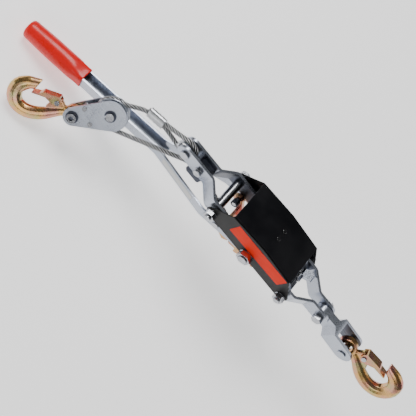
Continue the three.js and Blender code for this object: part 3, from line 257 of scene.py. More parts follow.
# %% The plated steel group
def build_plating():
    group, start, end = new_group(
        "plated_steel",
        [
            ("Base", "NodeSocketColor", (0.6, 0.6, 0.6, 1)),
            ("Cloud", "NodeSocketColor", (0.5, 0.5, 0.55, 1)),
            ("Cloud Scale", "NodeSocketFloat", 60),
            ("Cloud Amount", "NodeSocketFloat", 0.6),
            ("Smooth", "NodeSocketFloat", 0.25),
            ("Dull", "NodeSocketFloat", 0.45),
            ("Scratches", "NodeSocketFloat", 0.5),
        ],
        [("Color", "NodeSocketColor"), ("Roughness", "NodeSocketFloat"), ("Height", "NodeSocketFloat")],
    )
    place_node = group.nodes.new("ShaderNodeTexCoord")
    point = place_node.outputs["Object"]
    clouds = noise(group, point, start.outputs["Cloud Scale"], 4, 0.6)
    amount = maths(group, "MULTIPLY", map_range(group, clouds, 0.35, 0.68), start.outputs["Cloud Amount"])
    stretch = group.nodes.new("ShaderNodeMapping")
    stretch.inputs["Scale"].default_value = (40, 900, 900)
    group.links.new(point, stretch.inputs["Vector"])
    drawn = noise(group, stretch.outputs["Vector"], 1.0, 2, 0.5)
    grain = noise(group, point, 900, 2, 0.6)
    scratch = maths(group, "MULTIPLY", map_range(group, drawn, 0.62, 0.72), start.outputs["Scratches"])
    tinted = mix_colour(group, amount, start.outputs["Base"], start.outputs["Cloud"])
    pale = mix_colour(group, maths(group, "MULTIPLY", scratch, 0.25), tinted, (0.85, 0.86, 0.88))
    group.links.new(pale, end.inputs["Color"])
    mixed = maths(group, "MULTIPLY", maths(group, "ADD", grain, clouds), 0.5)
    rough = map_range(group, mixed, 0.35, 0.65, start.outputs["Smooth"], start.outputs["Dull"])
    group.links.new(rough, end.inputs["Roughness"])
    raised, sunk = maths(group, "MULTIPLY", grain, 0.35), maths(group, "MULTIPLY", scratch, 0.5)
    group.links.new(maths(group, "SUBTRACT", raised, sunk), end.inputs["Height"])
    return group


plating = build_plating()
print("group", plating.name, "with", len(plating.nodes), "nodes")

# %% [markdown]
# Yellow zinc is a thin chromate film, and thin films shine in rainbow colours: straw gold here,
# rose there, a hint of green between. A real thin film changes with the angle of view, which an
# exported model would lose, so a second group mixes the three colours by two separate clouds.

# %% The rainbow film group
def build_film():
    group, start, end = new_group(
        "rainbow_film",
        [
            ("Gold", "NodeSocketColor", (0.7, 0.45, 0.2, 1)),
            ("Rose", "NodeSocketColor", (0.65, 0.3, 0.32, 1)),
            ("Green", "NodeSocketColor", (0.4, 0.5, 0.28, 1)),
            ("Scale", "NodeSocketFloat", 45),
            ("Strength", "NodeSocketFloat", 0.8),
        ],
        [("Color", "NodeSocketColor")],
    )
    point = group.nodes.new("ShaderNodeTexCoord").outputs["Object"]
    first = noise(group, point, start.outputs["Scale"], 2, 0.5)
    shifted = group.nodes.new("ShaderNodeVectorMath")
    shifted.operation = "ADD"
    shifted.inputs[1].default_value = (3.1, 1.7, 5.3)
    group.links.new(point, shifted.inputs[0])
    second = noise(group, shifted.outputs["Vector"], start.outputs["Scale"], 2, 0.5)
    rosy = maths(group, "MULTIPLY", map_range(group, first, 0.42, 0.6), start.outputs["Strength"])
    green = maths(group, "MULTIPLY", map_range(group, second, 0.52, 0.66), start.outputs["Strength"])
    colour = mix_colour(group, rosy, start.outputs["Gold"], start.outputs["Rose"])
    colour = mix_colour(group, green, colour, start.outputs["Green"])
    group.links.new(colour, end.inputs["Color"])
    return group


film = build_film()
print("group", film.name, "with", len(film.nodes), "nodes")

# %% [markdown]
# Paint and vinyl need a third effect: the faint orange peel of a sprayed or dipped skin, with a
# little dust that dulls it in patches. Peel could be modelled, but it is far finer than a face,
# so it goes out of the group as a height for a bump.

# %% The coated skin group
def build_skin():
    group, start, end = new_group(
        "coated_skin",
        [
            ("Base", "NodeSocketColor", (0.02, 0.02, 0.02, 1)),
            ("Dust", "NodeSocketColor", (0.2, 0.2, 0.2, 1)),
            ("Dust Amount", "NodeSocketFloat", 0.2),
            ("Smooth", "NodeSocketFloat", 0.25),
            ("Dull", "NodeSocketFloat", 0.5),
            ("Peel Scale", "NodeSocketFloat", 500),
        ],
        [("Color", "NodeSocketColor"), ("Roughness", "NodeSocketFloat"), ("Height", "NodeSocketFloat")],
    )
    point = group.nodes.new("ShaderNodeTexCoord").outputs["Object"]
    patches = noise(group, point, 35, 4, 0.6)
    peel = noise(group, point, start.outputs["Peel Scale"], 1, 0.4)
    dusty = maths(group, "MULTIPLY", map_range(group, patches, 0.45, 0.7), start.outputs["Dust Amount"])
    dusted = mix_colour(group, dusty, start.outputs["Base"], start.outputs["Dust"])
    group.links.new(dusted, end.inputs["Color"])
    rough = map_range(group, patches, 0.35, 0.7, start.outputs["Smooth"], start.outputs["Dull"])
    group.links.new(rough, end.inputs["Roughness"])
    group.links.new(peel, end.inputs["Height"])
    return group


skin = build_skin()
print("group", skin.name, "with", len(skin.nodes), "nodes")

# %% [markdown]
# ## The materials
# Each material is a Principled shader fed by those groups. The helper makes the shader, places
# the groups and adds a bump; the numbers that stay the same all over are set on the shader.

# %% A helper for materials
def finish_from(name, metallic, bump, groups, links, coat=0.0, specular=0.5):
    """A material: groups is {label: (group, values)}, links is [(group label, output, input)]."""
    material = bpy.data.materials.new(name)
    material.use_nodes = True
    tree = material.node_tree
    shader = tree.nodes["Principled BSDF"]
    shader.inputs["Metallic"].default_value = metallic
    shader.inputs["Coat Weight"].default_value = coat
    shader.inputs["Specular IOR Level"].default_value = specular
    placed = {}
    for label, (group, values) in groups.items():
        node = tree.nodes.new("ShaderNodeGroup")
        node.node_tree = group
        for key, value in values.items():
            node.inputs[key].default_value = value
        placed[label] = node
    for label, output, target in links:
        source = placed[label].outputs[output]
        if target == "Height":
            raised = tree.nodes.new("ShaderNodeBump")
            raised.inputs["Strength"].default_value = bump
            raised.inputs["Distance"].default_value = 0.0004
            tree.links.new(source, raised.inputs["Height"])
            tree.links.new(raised.outputs["Normal"], shader.inputs["Normal"])
        elif target in placed:
            tree.links.new(source, placed[target].inputs["Base"])
        else:
            tree.links.new(source, shader.inputs[target])
    return material


def surface_links(label):
    return [(label, "Color", "Base Color"), (label, "Roughness", "Roughness"), (label, "Height", "Height")]


def plated(name, base, cloud, smooth, dull, bump=0.25, scale=60, amount=0.6, scratches=0.5):
    values = {
        "Base": (*base, 1), "Cloud": (*cloud, 1), "Cloud Scale": scale, "Cloud Amount": amount,
        "Smooth": smooth, "Dull": dull, "Scratches": scratches,
    }
    return finish_from(name, 1.0, bump, {"steel": (plating, values)}, surface_links("steel"))


def coated(name, base, dust, dust_amount, smooth, dull, bump, peel=500, coat=0.0, specular=0.5):
    values = {
        "Base": (*base, 1), "Dust": (*dust, 1), "Dust Amount": dust_amount,
        "Smooth": smooth, "Dull": dull, "Peel Scale": peel,
    }
    return finish_from(name, 0.0, bump, {"skin": (skin, values)}, surface_links("skin"), coat, specular)


# %% [markdown]
# The strips and the block are zinc plated, a cold blue grey. The bolts are brighter, the guide is
# dark steel, and the hooks and ratchets are yellow zinc. The colours could be picked from a
# picture, but that holds its own light and shade, so each is set to what the finish is in even
# light and then judged in a render. The one exception is the dull dark zinc, which is painted
# shade for faces that lie in shadow.

# %% Steel, paint and vinyl
zinc_plate = plated("zinc_plate", (0.44, 0.47, 0.54), (0.53, 0.56, 0.62), 0.22, 0.38, amount=0.35)
bright_zinc = plated("bright_zinc", (0.50, 0.51, 0.54), (0.32, 0.33, 0.36), 0.12, 0.26, scale=120)
dark_steel = plated("dark_steel", (0.055, 0.06, 0.08), (0.11, 0.12, 0.15), 0.28, 0.5)
# Painted shade: a dull dark zinc laid on faces that lie in shadow.
painted_shade_zinc = plated("painted_shade_zinc", (0.09, 0.10, 0.13), (0.16, 0.17, 0.20), 0.34, 0.5, amount=0.5)
pressed_aluminium = plated(
    "pressed_aluminium", (0.60, 0.61, 0.63), (0.42, 0.43, 0.45), 0.22, 0.40, scale=150,
)
black_paint = coated(
    "black_paint", (0.003, 0.003, 0.0045), (0.007, 0.007, 0.009), 0.5, 0.30, 0.5, 0.1, specular=0.22,
)
panel_paint = coated(
    "panel_paint", (0.013, 0.013, 0.0135), (0.024, 0.024, 0.024), 0.5, 0.42, 0.6, 0.15, specular=0.25,
)
red_vinyl = coated(
    "red_vinyl", (0.80, 0.008, 0.007), (0.86, 0.018, 0.014), 0.3, 0.22, 0.34, 0.05,
    peel=260, coat=0.12, specular=0.35,
)
label_red = coated("label_red", (0.80, 0.022, 0.002), (0.62, 0.03, 0.006), 0.3, 0.5, 0.6, 0.04, specular=0.12)
rivet_gloss = coated(
    "rivet_gloss", (0.004, 0.004, 0.005), (0.01, 0.01, 0.01), 0.2, 0.08, 0.16, 0.02, coat=0.8,
)
label_white = coated("label_white", (0.70, 0.70, 0.69), (0.6, 0.6, 0.6), 0.3, 0.4, 0.5, 0.04)
gold_zinc = finish_from(
    "gold_zinc",
    1.0,
    0.2,
    {
        "film": (film, {
            "Gold": (0.64, 0.37, 0.12, 1), "Rose": (0.62, 0.22, 0.24, 1), "Green": (0.34, 0.42, 0.16, 1),
        }),
        "steel": (plating, {
            "Cloud": (0.66, 0.46, 0.26, 1), "Cloud Amount": 0.35, "Smooth": 0.18, "Dull": 0.36,
        }),
    },
    [("film", "Color", "steel"), *surface_links("steel")],
)
print("materials", len(bpy.data.materials))

# %% [markdown]
# Wire rope is strands laid round a core, and each strand is itself a bundle of wires. The strands
# will be modelled. The wires are too fine for that, so the material draws them as slanting ribs
# on each strand's own map: across the map is round the strand, along it is metres of rope. The
# ribs also darken the colour a little between the wires, a painted shade. On the same map each
# strand is painted near white on its outer crown and near black down its sides into the valleys
# between strands, a painted highlight and a painted shade. Fully metallic wires would only mirror
# the dark room, so a rope this fine is made a little less so.

# %% Wire rope finish
def build_wires():
    group, start, end = new_group(
        "strand_wires",
        [("Wires", "NodeSocketFloat", 6), ("Turns", "NodeSocketFloat", 90)],
        [("Rib", "NodeSocketFloat"), ("Color", "NodeSocketColor")],
    )
    maps = group.nodes.new("ShaderNodeUVMap")
    maps.uv_map = "strand"
    split = group.nodes.new("ShaderNodeSeparateXYZ")
    group.links.new(maps.outputs["UV"], split.inputs[0])
    round_part = maths(group, "MULTIPLY", split.outputs["X"], start.outputs["Wires"])
    long_part = maths(group, "MULTIPLY", split.outputs["Y"], start.outputs["Turns"])
    angle = maths(group, "MULTIPLY", maths(group, "ADD", round_part, long_part), 2 * math.pi)
    wave = group.nodes.new("ShaderNodeMath")
    wave.operation = "SINE"
    group.links.new(angle, wave.inputs[0])
    rib = map_range(group, wave.outputs[0], -1, 1)
    group.links.new(rib, end.inputs["Rib"])
    facing = group.nodes.new("ShaderNodeMath")
    facing.operation = "COSINE"
    group.links.new(maths(group, "MULTIPLY", split.outputs["X"], 2 * math.pi), facing.inputs[0])
    # Painted highlight on each strand's crown, painted shade down its sides into the valleys.
    painted_crown_light = map_range(group, facing.outputs[0], 0.72, 0.96)
    shown = maths(group, "MULTIPLY", painted_crown_light, maths(group, "ADD", maths(group, "MULTIPLY", rib, 0.3), 0.7))
    group.links.new(mix_colour(group, shown, (0.006, 0.006, 0.008), (0.95, 0.95, 0.96)), end.inputs["Color"])
    return group


wires = build_wires()
wire_rope = finish_from(
    "wire_rope",
    0.6,
    0.5,
    {
        "wires": (wires, {}),
        "steel": (plating, {
            "Cloud": (0.30, 0.31, 0.32, 1), "Cloud Amount": 0.1, "Cloud Scale": 200,
            "Smooth": 0.26, "Dull": 0.45, "Scratches": 0.2,
        }),
    },
    [
        ("wires", "Color", "steel"),
        ("steel", "Color", "Base Color"),
        ("steel", "Roughness", "Roughness"),
        ("wires", "Rib", "Height"),
    ],
)

# %% [markdown]
# ## Soft edges on the pressed and turned steel
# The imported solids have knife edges. Real edges catch a thin line of light, so each solid is
# copied, its loose triangles merged, its flat faces cleaned and its edges bevelled by a third of
# a millimetre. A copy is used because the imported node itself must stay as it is.

# %% The edge helper
bodies = frame["record"]["behaviour"]["bodies"]
body_of_node = {node: body for body, nodes in bodies.items() for node in nodes}


def merged_copy(node):
    """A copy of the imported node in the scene's own axes, with its loose triangles joined."""
    bpy.ops.object.select_all(action="DESELECT")
    source = frame["nodes"][node]
    mesh = source.data.copy()
    mesh.transform(source.matrix_world)
    piece = bpy.data.objects.new(node + "_finish", mesh)
    bpy.context.scene.collection.objects.link(piece)
    piece.select_set(True)
    bpy.context.view_layer.objects.active = piece
    bpy.ops.object.mode_set(mode="EDIT")
    bpy.ops.mesh.select_all(action="SELECT")
    bpy.ops.mesh.remove_doubles(threshold=0.000002)
    bpy.ops.object.mode_set(mode="OBJECT")
    return piece


def apply_modifier(piece, kind, **settings):
    modifier = piece.modifiers.new(kind.lower(), kind)
    for key, value in settings.items():
        setattr(modifier, key, value)
    bpy.ops.object.select_all(action="DESELECT")
    piece.select_set(True)
    bpy.context.view_layer.objects.active = piece
    bpy.ops.object.modifier_apply(modifier=modifier.name)


def take_place(piece, node, material):
    """The finished piece rides on the node's body and is shown in its place."""
    piece.data.materials.clear()
    piece.data.materials.append(material)
    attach(piece, body_of_node[node])
    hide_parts(node)


one_plane = math.radians(0.6)
one_curve = math.radians(35)


def soften(node, material, edge=0.35, angle=30, segments=2):
    """A copy of the node with its edges, in millimetres, bevelled where they are sharper than the angle."""
    piece = merged_copy(node)
    bpy.ops.object.mode_set(mode="EDIT")
    bpy.ops.mesh.select_all(action="SELECT")
    bpy.ops.mesh.dissolve_limited(angle_limit=one_plane)
    bpy.ops.object.mode_set(mode="OBJECT")
    if edge > 0:
        apply_modifier(
            piece, "BEVEL", width=edge * MM, segments=segments, limit_method="ANGLE",
            angle_limit=math.radians(angle), miter_outer="MITER_ARC",
        )
    bpy.ops.object.shade_smooth_by_angle(angle=one_curve)
    apply_modifier(piece, "WEIGHTED_NORMAL", keep_sharp=True, weight=80)
    take_place(piece, node, material)
    return piece


# %% [markdown]
# The pressed parts could each get an edge of their own. They came out of the same presses and the
# same bath, so a table of finishes and parts is enough. Only the guard differs: paint lies thick
# on the cover's folds, so they are rounder, and the side panels have finer edges.

# %% Strips, covers and cheeks
sheet_metal = {
    zinc_plate: [
        "near_side_strip", "far_side_strip", "handle_channel", "near_cheek", "far_cheek",
        "anchor_clevis", "holding_pawl", "clevis_pin",
    ],
    gold_zinc: ["near_ratchet", "far_ratchet", "drive_pawl", "load_latch", "anchor_latch", "drum_barrel"],
    dark_steel: ["rope_guide", "hook_bolt_washer"],
}
for material, nodes in sheet_metal.items():
    for node in nodes:
        soften(node, material)
soften("top_cover", black_paint, 0.5, 12)
soften("near_cover_panel", panel_paint, 0.3)
soften("far_cover_panel", black_paint, 0.3)

# %% [markdown]
# Inside the clevis and between the strips the faces lie in shade, and that shade is painted into
# them as a dull dark plating. They could be shaded by a mask, but they are whole faces with clean
# edges, so they are found by their place and the way they face, and get a second material, the
# painted shade.

# %% Paint shade on the inner faces
def dressed(node):
    """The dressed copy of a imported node."""
    return next(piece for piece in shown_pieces() if piece.name == node + "_finish")


def paint_shade(node, inside):
    """Gives the painted shade material to the faces for which inside(spot, normal) is true."""
    piece = dressed(node)
    piece.data.materials.append(painted_shade_zinc)
    for face in piece.data.polygons:
        if inside((face.center - axle) / MM, face.normal):
            face.material_index = 1
    print(node, "dark faces", sum(face.material_index for face in piece.data.polygons))


clevis_half_gap, clevis_web_face = 10.9, 144.0
bay_start, bay_end = -95.0, 60.0


def inward(spot, normal):
    """How squarely a face looks at the middle plane of the winch, from -1 to 1."""
    return -normal.y if spot.y > 0 else normal.y


def in_clevis(spot, normal):
    between_legs = abs(spot.y) < clevis_half_gap and spot.x > clevis_web_face
    return between_legs and (inward(spot, normal) > 0.7 or normal.x > 0.7)


def in_bay(spot, normal):
    return bay_start < spot.x < bay_end and inward(spot, normal) > 0.5


paint_shade("anchor_clevis", in_clevis)
paint_shade("near_side_strip", in_bay)
paint_shade("far_side_strip", in_bay)

# %% [markdown]
# Bolts and nuts are small, bright and turned. They could be modelled anew with threads, but the
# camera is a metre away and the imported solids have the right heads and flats, so they are only
# given a finer edge and the brighter plating. The retaining rings are dark spring steel.

# %% Fasteners
for node in (
    "front_bolt", "rear_bolt", "drum_axle", "front_nut", "rear_nut", "axle_nut", "front_spacer",
    "rear_collar", "head_rivet", "guide_bolt", "guide_nut", "yoke_bolt", "yoke_nut",
    "near_pawl_rivet", "far_pawl_rivet", "sheave_pin", "hook_bolt_nut", "hook_bolt",
    "load_latch_rivet", "anchor_latch_rivet",
):
    soften(node, bright_zinc, 0.25)
for node in ("near_retaining_ring", "far_retaining_ring"):
    soften(node, dark_steel, 0.12)
soften("thimble", bright_zinc, 0)
soften("sheave", zinc_plate, 0.25)

# %% [markdown]
# Rivet heads are domes, pressed up by the riveting tool. A dome could be a sphere cut flat. A wide
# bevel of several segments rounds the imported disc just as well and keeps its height.

# %% Domed rivet heads
rivet_domes = {
    "upper_cheek_spacer": (bright_zinc, 0.8), "lower_cheek_spacer": (bright_zinc, 0.8),
    "near_cover_rivet": (rivet_gloss, 0.6), "far_cover_rivet": (rivet_gloss, 0.6),
}
for node, (material, dome) in rivet_domes.items():
    soften(node, material, dome, segments=5)
print("domed", len(rivet_domes), "rivets")

# %% [markdown]
# The springs are thin round wire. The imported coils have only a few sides, so the copy is
# subdivided, which turns each straight step of the coil into a curve. The pawls' springs are
# dark spring steel, the latches' are plated.

# %% Round spring wire
spring_wire = {
    "holding_pawl_spring": dark_steel, "drive_pawl_spring": dark_steel,
    "load_latch_spring": bright_zinc, "anchor_latch_spring": bright_zinc,
}
for node, material in spring_wire.items():
    spring = merged_copy(node)
    apply_modifier(spring, "SUBSURF", levels=2, render_levels=2)
    bpy.ops.object.shade_smooth()
    take_place(spring, node, material)
    print(spring.name, len(spring.data.polygons), "faces")

# %% [markdown]
# ## Forged hooks
# A forging has no sharp inside corners: the metal flowed in the die. Those fillets could be
# bevelled edge by edge, but the edges between a loft and an eye are too ragged for that. So the
# copy is remeshed into small even faces and relaxed, which rolls a fillet into every corner.

# %% Forge a hook
def forge(node, grain=0.0007, passes=8):
    """A copy remeshed into faces of one grain, in metres, and relaxed."""
    hook = merged_copy(node)
    apply_modifier(hook, "REMESH", mode="VOXEL", voxel_size=grain)
    apply_modifier(hook, "SMOOTH", factor=0.5, iterations=passes)
    bpy.ops.object.shade_smooth()
    return hook


# %% [markdown]
# The beak is trimmed hot and tumbled, so its end is rounder than the rest. Only the points near
# it are selected and relaxed again. The two places are the middles of the trimmed ends.

# %% Round both beaks
beak_ends = {"load_hook": place(-299.9, -56.0, -75.2), "anchor_hook": place(230.4, 9.0, 20.3)}
beak_reach = 9.5
for node, beak_end in beak_ends.items():
    hook = forge(node)
    for vertex in hook.data.vertices:
        vertex.select = (vertex.co - beak_end).length < beak_reach * MM
    bpy.ops.object.mode_set(mode="EDIT")
    bpy.ops.mesh.vertices_smooth(factor=0.5, repeat=8)
    bpy.ops.object.mode_set(mode="OBJECT")
    take_place(hook, node, gold_zinc)
    rounded = sum(vertex.select for vertex in hook.data.vertices)
    print(node, len(hook.data.polygons), "faces,", rounded, "points rounded at the beak")

# %% [markdown]
# ## The wire rope
# The rope leaves the drum's underside, passes the guide, turns round the sheave and comes back to
# an eye on the head rivet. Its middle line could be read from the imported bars. It is worked out
# from the same few sizes instead, because a route with even steps bends a rope without kinks.

# %% Routes
rope_radius = 3.0
gap = 0.3
drum_wrap_radius = 16.7
drum_wrap_half = 13.8
wrap_start = -math.pi / 2 + 0.08
rope_turns = 4
sheave_centre = Vector((-221, -25, -40.5))
block_long = Vector((-0.582, -0.512, -0.632)).normalized()
block_near = Vector((0.05, -0.798, 0.601))
block_near = (block_near - block_long * block_near.dot(block_long)).normalized()
block_up = block_long.cross(block_near)
pitch_radius = 18.0


def tangent_on_sheave(outside, side):
    """Where a line from outside touches the rope's circle on the sheave, as an angle there."""
    offset = outside - sheave_centre
    across, up = offset.dot(block_long), offset.dot(block_up)
    return math.atan2(up, across) + side * math.acos(pitch_radius / math.hypot(across, up))


def on_sheave(angle):
    return sheave_centre + (block_long * math.cos(angle) + block_up * math.sin(angle)) * pitch_radius


def smooth_route(points, step=1.5):
    """A smooth curve through the points, sampled about every step millimetres."""
    padded = [points[0] * 2 - points[1], *points, points[-1] * 2 - points[-2]]
    samples = []
    for a, b, c, d in zip(padded, padded[1:], padded[2:], padded[3:]):
        t0, t1 = 0.0, math.sqrt((b - a).length)
        t2 = t1 + math.sqrt((c - b).length)
        t3 = t2 + math.sqrt((d - c).length)
        count = max(2, round((c - b).length / step))
        for index in range(count):
            t = t1 + (t2 - t1) * index / count
            a1 = a * ((t1 - t) / (t1 - t0)) + b * ((t - t0) / (t1 - t0))
            a2 = b * ((t2 - t) / (t2 - t1)) + c * ((t - t1) / (t2 - t1))
            a3 = c * ((t3 - t) / (t3 - t2)) + d * ((t - t2) / (t3 - t2))
            b1 = a1 * ((t2 - t) / (t2 - t0)) + a2 * ((t - t0) / (t2 - t0))
            b2 = a2 * ((t3 - t) / (t3 - t1)) + a3 * ((t - t1) / (t3 - t1))
            samples.append(b1 * ((t2 - t) / (t2 - t1)) + b2 * ((t - t1) / (t2 - t1)))
    samples.append(points[-1].copy())
    return samples


guide_mouth = Vector((-125, -1.5, -18.3))
head_rivet = Vector((-135, 0, 0))
lower_angle = tangent_on_sheave(guide_mouth, 1)
upper_angle = tangent_on_sheave(head_rivet, -1)
lower_point, upper_point = on_sheave(lower_angle), on_sheave(upper_angle)
drum_run = smooth_route([
    Vector((0, -drum_wrap_half, -drum_wrap_radius)),
    Vector((-14, -drum_wrap_half + 0.4, -drum_wrap_radius)),
    Vector((-60, -5, -drum_wrap_radius)),
    Vector((-95, -0.4, -drum_wrap_radius)),
    Vector((-119, -0.2, -drum_wrap_radius)),
    guide_mouth,
    guide_mouth.lerp(lower_point, 0.25),
    guide_mouth.lerp(lower_point, 0.97),
])
wrap_steps = 260
drum_wrap = []
for index in range(wrap_steps + 1):
    share = index / wrap_steps
    angle = wrap_start + share * rope_turns * 2 * math.pi
    drum_wrap.append(Vector((
        math.cos(angle) * drum_wrap_radius,
        -drum_wrap_half + 2 * drum_wrap_half * share,
        math.sin(angle) * drum_wrap_radius,
    )))
sweep = (upper_angle - lower_angle) % (2 * math.pi)
bight_steps = 44
bight = [on_sheave(lower_angle + sweep * index / bight_steps) for index in range(bight_steps + 1)]
print("rope on the drum", round(2 * math.pi * drum_wrap_radius * rope_turns), "mm")

# %% [markdown]
# The rope's end is bent back round a thimble, and its tail lies beside it in the ferrule. It could
# be one curve drawn by hand. Worked out instead from the thimble and the ferrule, it is a ring of
# points with two straight ends, and the short run to the sheave is a Bezier curve of four knots.

# %% The return run and the eye
return_way = upper_point - head_rivet
return_way.y = 0
return_way.normalize()
thimble_inside, thimble_wall, head_rivet_radius = 9, 1.4, 3.8
eye_centre = head_rivet + return_way * (thimble_inside - head_rivet_radius - gap)
eye_side = return_way.cross(Vector((0, 1, 0)))
ferrule_start, ferrule_length = 36, 22
eye_radius = thimble_inside + thimble_wall + rope_radius + gap
tail_side = -(2 * rope_radius + gap)


def on_eye(along, across):
    return eye_centre + return_way * along + eye_side * across


def round_eye(degrees):
    angle = math.radians(degrees)
    return on_eye(math.cos(angle) * eye_radius, math.sin(angle) * eye_radius)


ferrule_end = ferrule_start + ferrule_length
throat = ferrule_start - 2
eye_route = smooth_route([
    on_eye(ferrule_end, 0),
    on_eye(throat + 8, 0),
    on_eye(throat, 0.3),
    *[round_eye(angle) for angle in (52, 90, 135, 180, 225, 270, 306)],
    on_eye(throat, tail_side - 0.3),
    on_eye(throat + 8, tail_side),
    on_eye(ferrule_end + 2, tail_side),
])
upper_way = block_long * math.sin(upper_angle) - block_up * math.cos(upper_angle)
return_end = upper_point - upper_way * 0.6
knots = [
    on_eye(ferrule_end + 0.3, 0),
    on_eye(ferrule_end + 10, 0),
    return_end - upper_way * 12,
    return_end,
]
return_steps = 26
return_run = []
for index in range(return_steps + 1):
    t = index / return_steps
    weights = ((1 - t) ** 3, 3 * t * (1 - t) ** 2, 3 * t * t * (1 - t), t ** 3)
    point = Vector((0, 0, 0))
    for knot, weight in zip(knots, weights):
        point += knot * weight
    return_run.append(point)
print("eye", len(eye_route), "samples, return run", len(return_run))

# %% [markdown]
# The hook's bolt stands beside the sheave in the same block. The hexagon socket in its head is a
# deep hole that lies in shade, and that shade is painted into it. A dark plug could sit in it, but
# would close a hole that is open. With the block's own directions at hand, the socket's faces are
# found by how near they lie to the bolt's middle line, and get the dull plating of painted shade.

# %% Paint shade into the socket of the hook bolt
hook_bolt_middle = Vector((-247.2, -48.0, -68.9))
socket_corner = 3.3
socket_depth = 3.5
rim = 0.05
bolt_points = dressed("hook_bolt").data.vertices
head_face = max((vertex.co - axle).dot(block_near) / MM for vertex in bolt_points)


def in_socket(spot, normal):
    depth = head_face - spot.dot(block_near)
    offset = spot - hook_bolt_middle
    beside = (offset - block_near * offset.dot(block_near)).length
    return beside < socket_corner and rim < depth < socket_depth


paint_shade("hook_bolt", in_socket)

# %% [markdown]
# A rope could be drawn as a plain tube with stripes, but that looks flat as soon as light grazes
# it. Its strands could also be wound point by point along the route. The way chosen here is the
# rope maker's: it is made straight first, six circles round a seventh, screwed along the X axis.

# %% Twist a straight rope
strands = 6
strand_step = 2 * math.pi / strands
strand_radius = 0.98
strand_centre = 1.98
lay_length = 30.0


def straight_rope(name, length, step=1.3):
    """Six strands round a core along the X axis; length and step are in millimetres."""
    circle = {"vertices": 8, "radius": strand_radius * MM, "rotation": (0, math.pi / 2, 0)}
    bpy.ops.object.select_all(action="DESELECT")
    bpy.ops.mesh.primitive_circle_add(**circle)
    rope = bpy.context.active_object
    rope.name = name
    bpy.ops.object.transform_apply(rotation=True)
    bpy.ops.object.mode_set(mode="EDIT")
    bpy.ops.mesh.select_all(action="DESELECT")
    bpy.ops.mesh.primitive_circle_add(location=(0, strand_centre * MM, 0), **circle)
    for copy in range(strands - 1):
        bpy.ops.mesh.duplicate()
        bpy.ops.transform.rotate(value=strand_step, orient_axis="X", center_override=(0, 0, 0))
    bpy.ops.object.mode_set(mode="OBJECT")
    rings = round(length / step)
    apply_modifier(
        rope, "SCREW", axis="X", angle=length / lay_length * 2 * math.pi, screw_offset=length * MM,
        steps=rings, render_steps=rings, use_smooth_shade=True,
    )
    return rope


# %% [markdown]
# The wires of the finish need to know where they are on a strand. On the straight rope that is
# easy: turning a point back by its share of the twist shows which strand it sits on and at what
# angle. This is written to a map, before the rope is bent.

# %% Map the strands
def map_strands(rope):
    """The map's U is once round the strand, from its outermost line; V is metres along the rope."""
    around = []
    for vertex in rope.data.vertices:
        x, y, z = vertex.co / MM
        turned = math.atan2(z, y) - x / lay_length * 2 * math.pi
        from_core = math.hypot(y, z)
        strand = round(turned / strand_step) * strand_step
        across = from_core * math.cos(turned - strand) - strand_centre
        beside = from_core * math.sin(turned - strand)
        on_core = from_core < strand_centre - strand_radius
        around.append(0.5 if on_core else math.atan2(beside, across) / (2 * math.pi) % 1)
    layer = rope.data.uv_layers.new(name="strand")
    for face in rope.data.polygons:
        corners = [rope.data.loops[index].vertex_index for index in face.loop_indices]
        crosses_seam = max(around[c] for c in corners) - min(around[c] for c in corners) > 0.5
        for index, corner in zip(face.loop_indices, corners):
            u = around[corner] + (1 if crosses_seam and around[corner] < 0.5 else 0)
            layer.data[index].uv = (u, rope.data.vertices[corner].co.x)


# %% [markdown]
# A Curve modifier then bends the straight rope onto its route, just as the winch does. The guide
# curve is only a tool and is removed again.

# %% Bend the rope onto its route
def lay_rope(name, route, node):
    """Rope along the route, which is in millimetres from the axle, shown in place of the node."""
    length = sum((b - a).length for a, b in zip(route, route[1:]))
    rope = straight_rope(name, length)
    map_strands(rope)
    guide_data = bpy.data.curves.new("rope_route", "CURVE")
    guide_data.dimensions = "3D"
    line = guide_data.splines.new("POLY")
    line.points.add(len(route) - 1)
    for knot, centre in zip(line.points, route):
        knot.co = (*(axle + centre * MM), 1)
    guide = bpy.data.objects.new("rope_route", guide_data)
    bpy.context.scene.collection.objects.link(guide)
    apply_modifier(rope, "CURVE", object=guide, deform_axis="POS_X")
    bpy.data.objects.remove(guide)
    bpy.ops.object.mode_set(mode="EDIT")
    bpy.ops.mesh.select_all(action="SELECT")
    bpy.ops.mesh.fill_holes(sides=8)
    bpy.ops.mesh.select_all(action="SELECT")
    bpy.ops.mesh.normals_make_consistent(inside=False)
    bpy.ops.object.mode_set(mode="OBJECT")
    rope.data.materials.clear()
    rope.data.materials.append(wire_rope)
    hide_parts(node)
    print(name, round(length), "mm of rope,", len(rope.data.polygons), "faces")
    return rope


# %% [markdown]
# Three lengths ride on one body each: the drum, the block and the frame. The other two hang
# between the frame and the moving block and grow longer with it. Cut into stiff pieces they would
# gape; here they are laid in place, with their placing baked into their points, and ride on no body.

# %% Lay all five lengths
for name, route, node in (
    ("drum_wraps", drum_wrap, "rope_on_drum"),
    ("sheave_bight", bight, "rope_sheave_bight"),
    ("eye_splice", eye_route, "rope_eye"),
):
    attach(lay_rope(name, route, node), body_of_node[node])
for name, route, node, fixed_end in (
    ("drum_line", drum_run, "rope_drum_run", guide_mouth),
    ("return_line", return_run, "rope_return_run", return_run[0]),
):
    line = lay_rope(name, route, node)
    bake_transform(line)

# %% [markdown]
# ## The pressed ferrule
# An aluminium sleeve is squeezed over both parts of the rope, and the press leaves four bands
# across it. A bump could hint at them, but they show in the sleeve's outline. So the packed
# sleeve is cut at even places, and every second ring of points is scaled in a little.

# %% Press the ferrule
ferrule = merged_copy("ferrule")
bands = 8


def on_ferrule(band, across=0):
    return axle + on_eye(ferrule_start + ferrule_length * band / bands, across) * MM


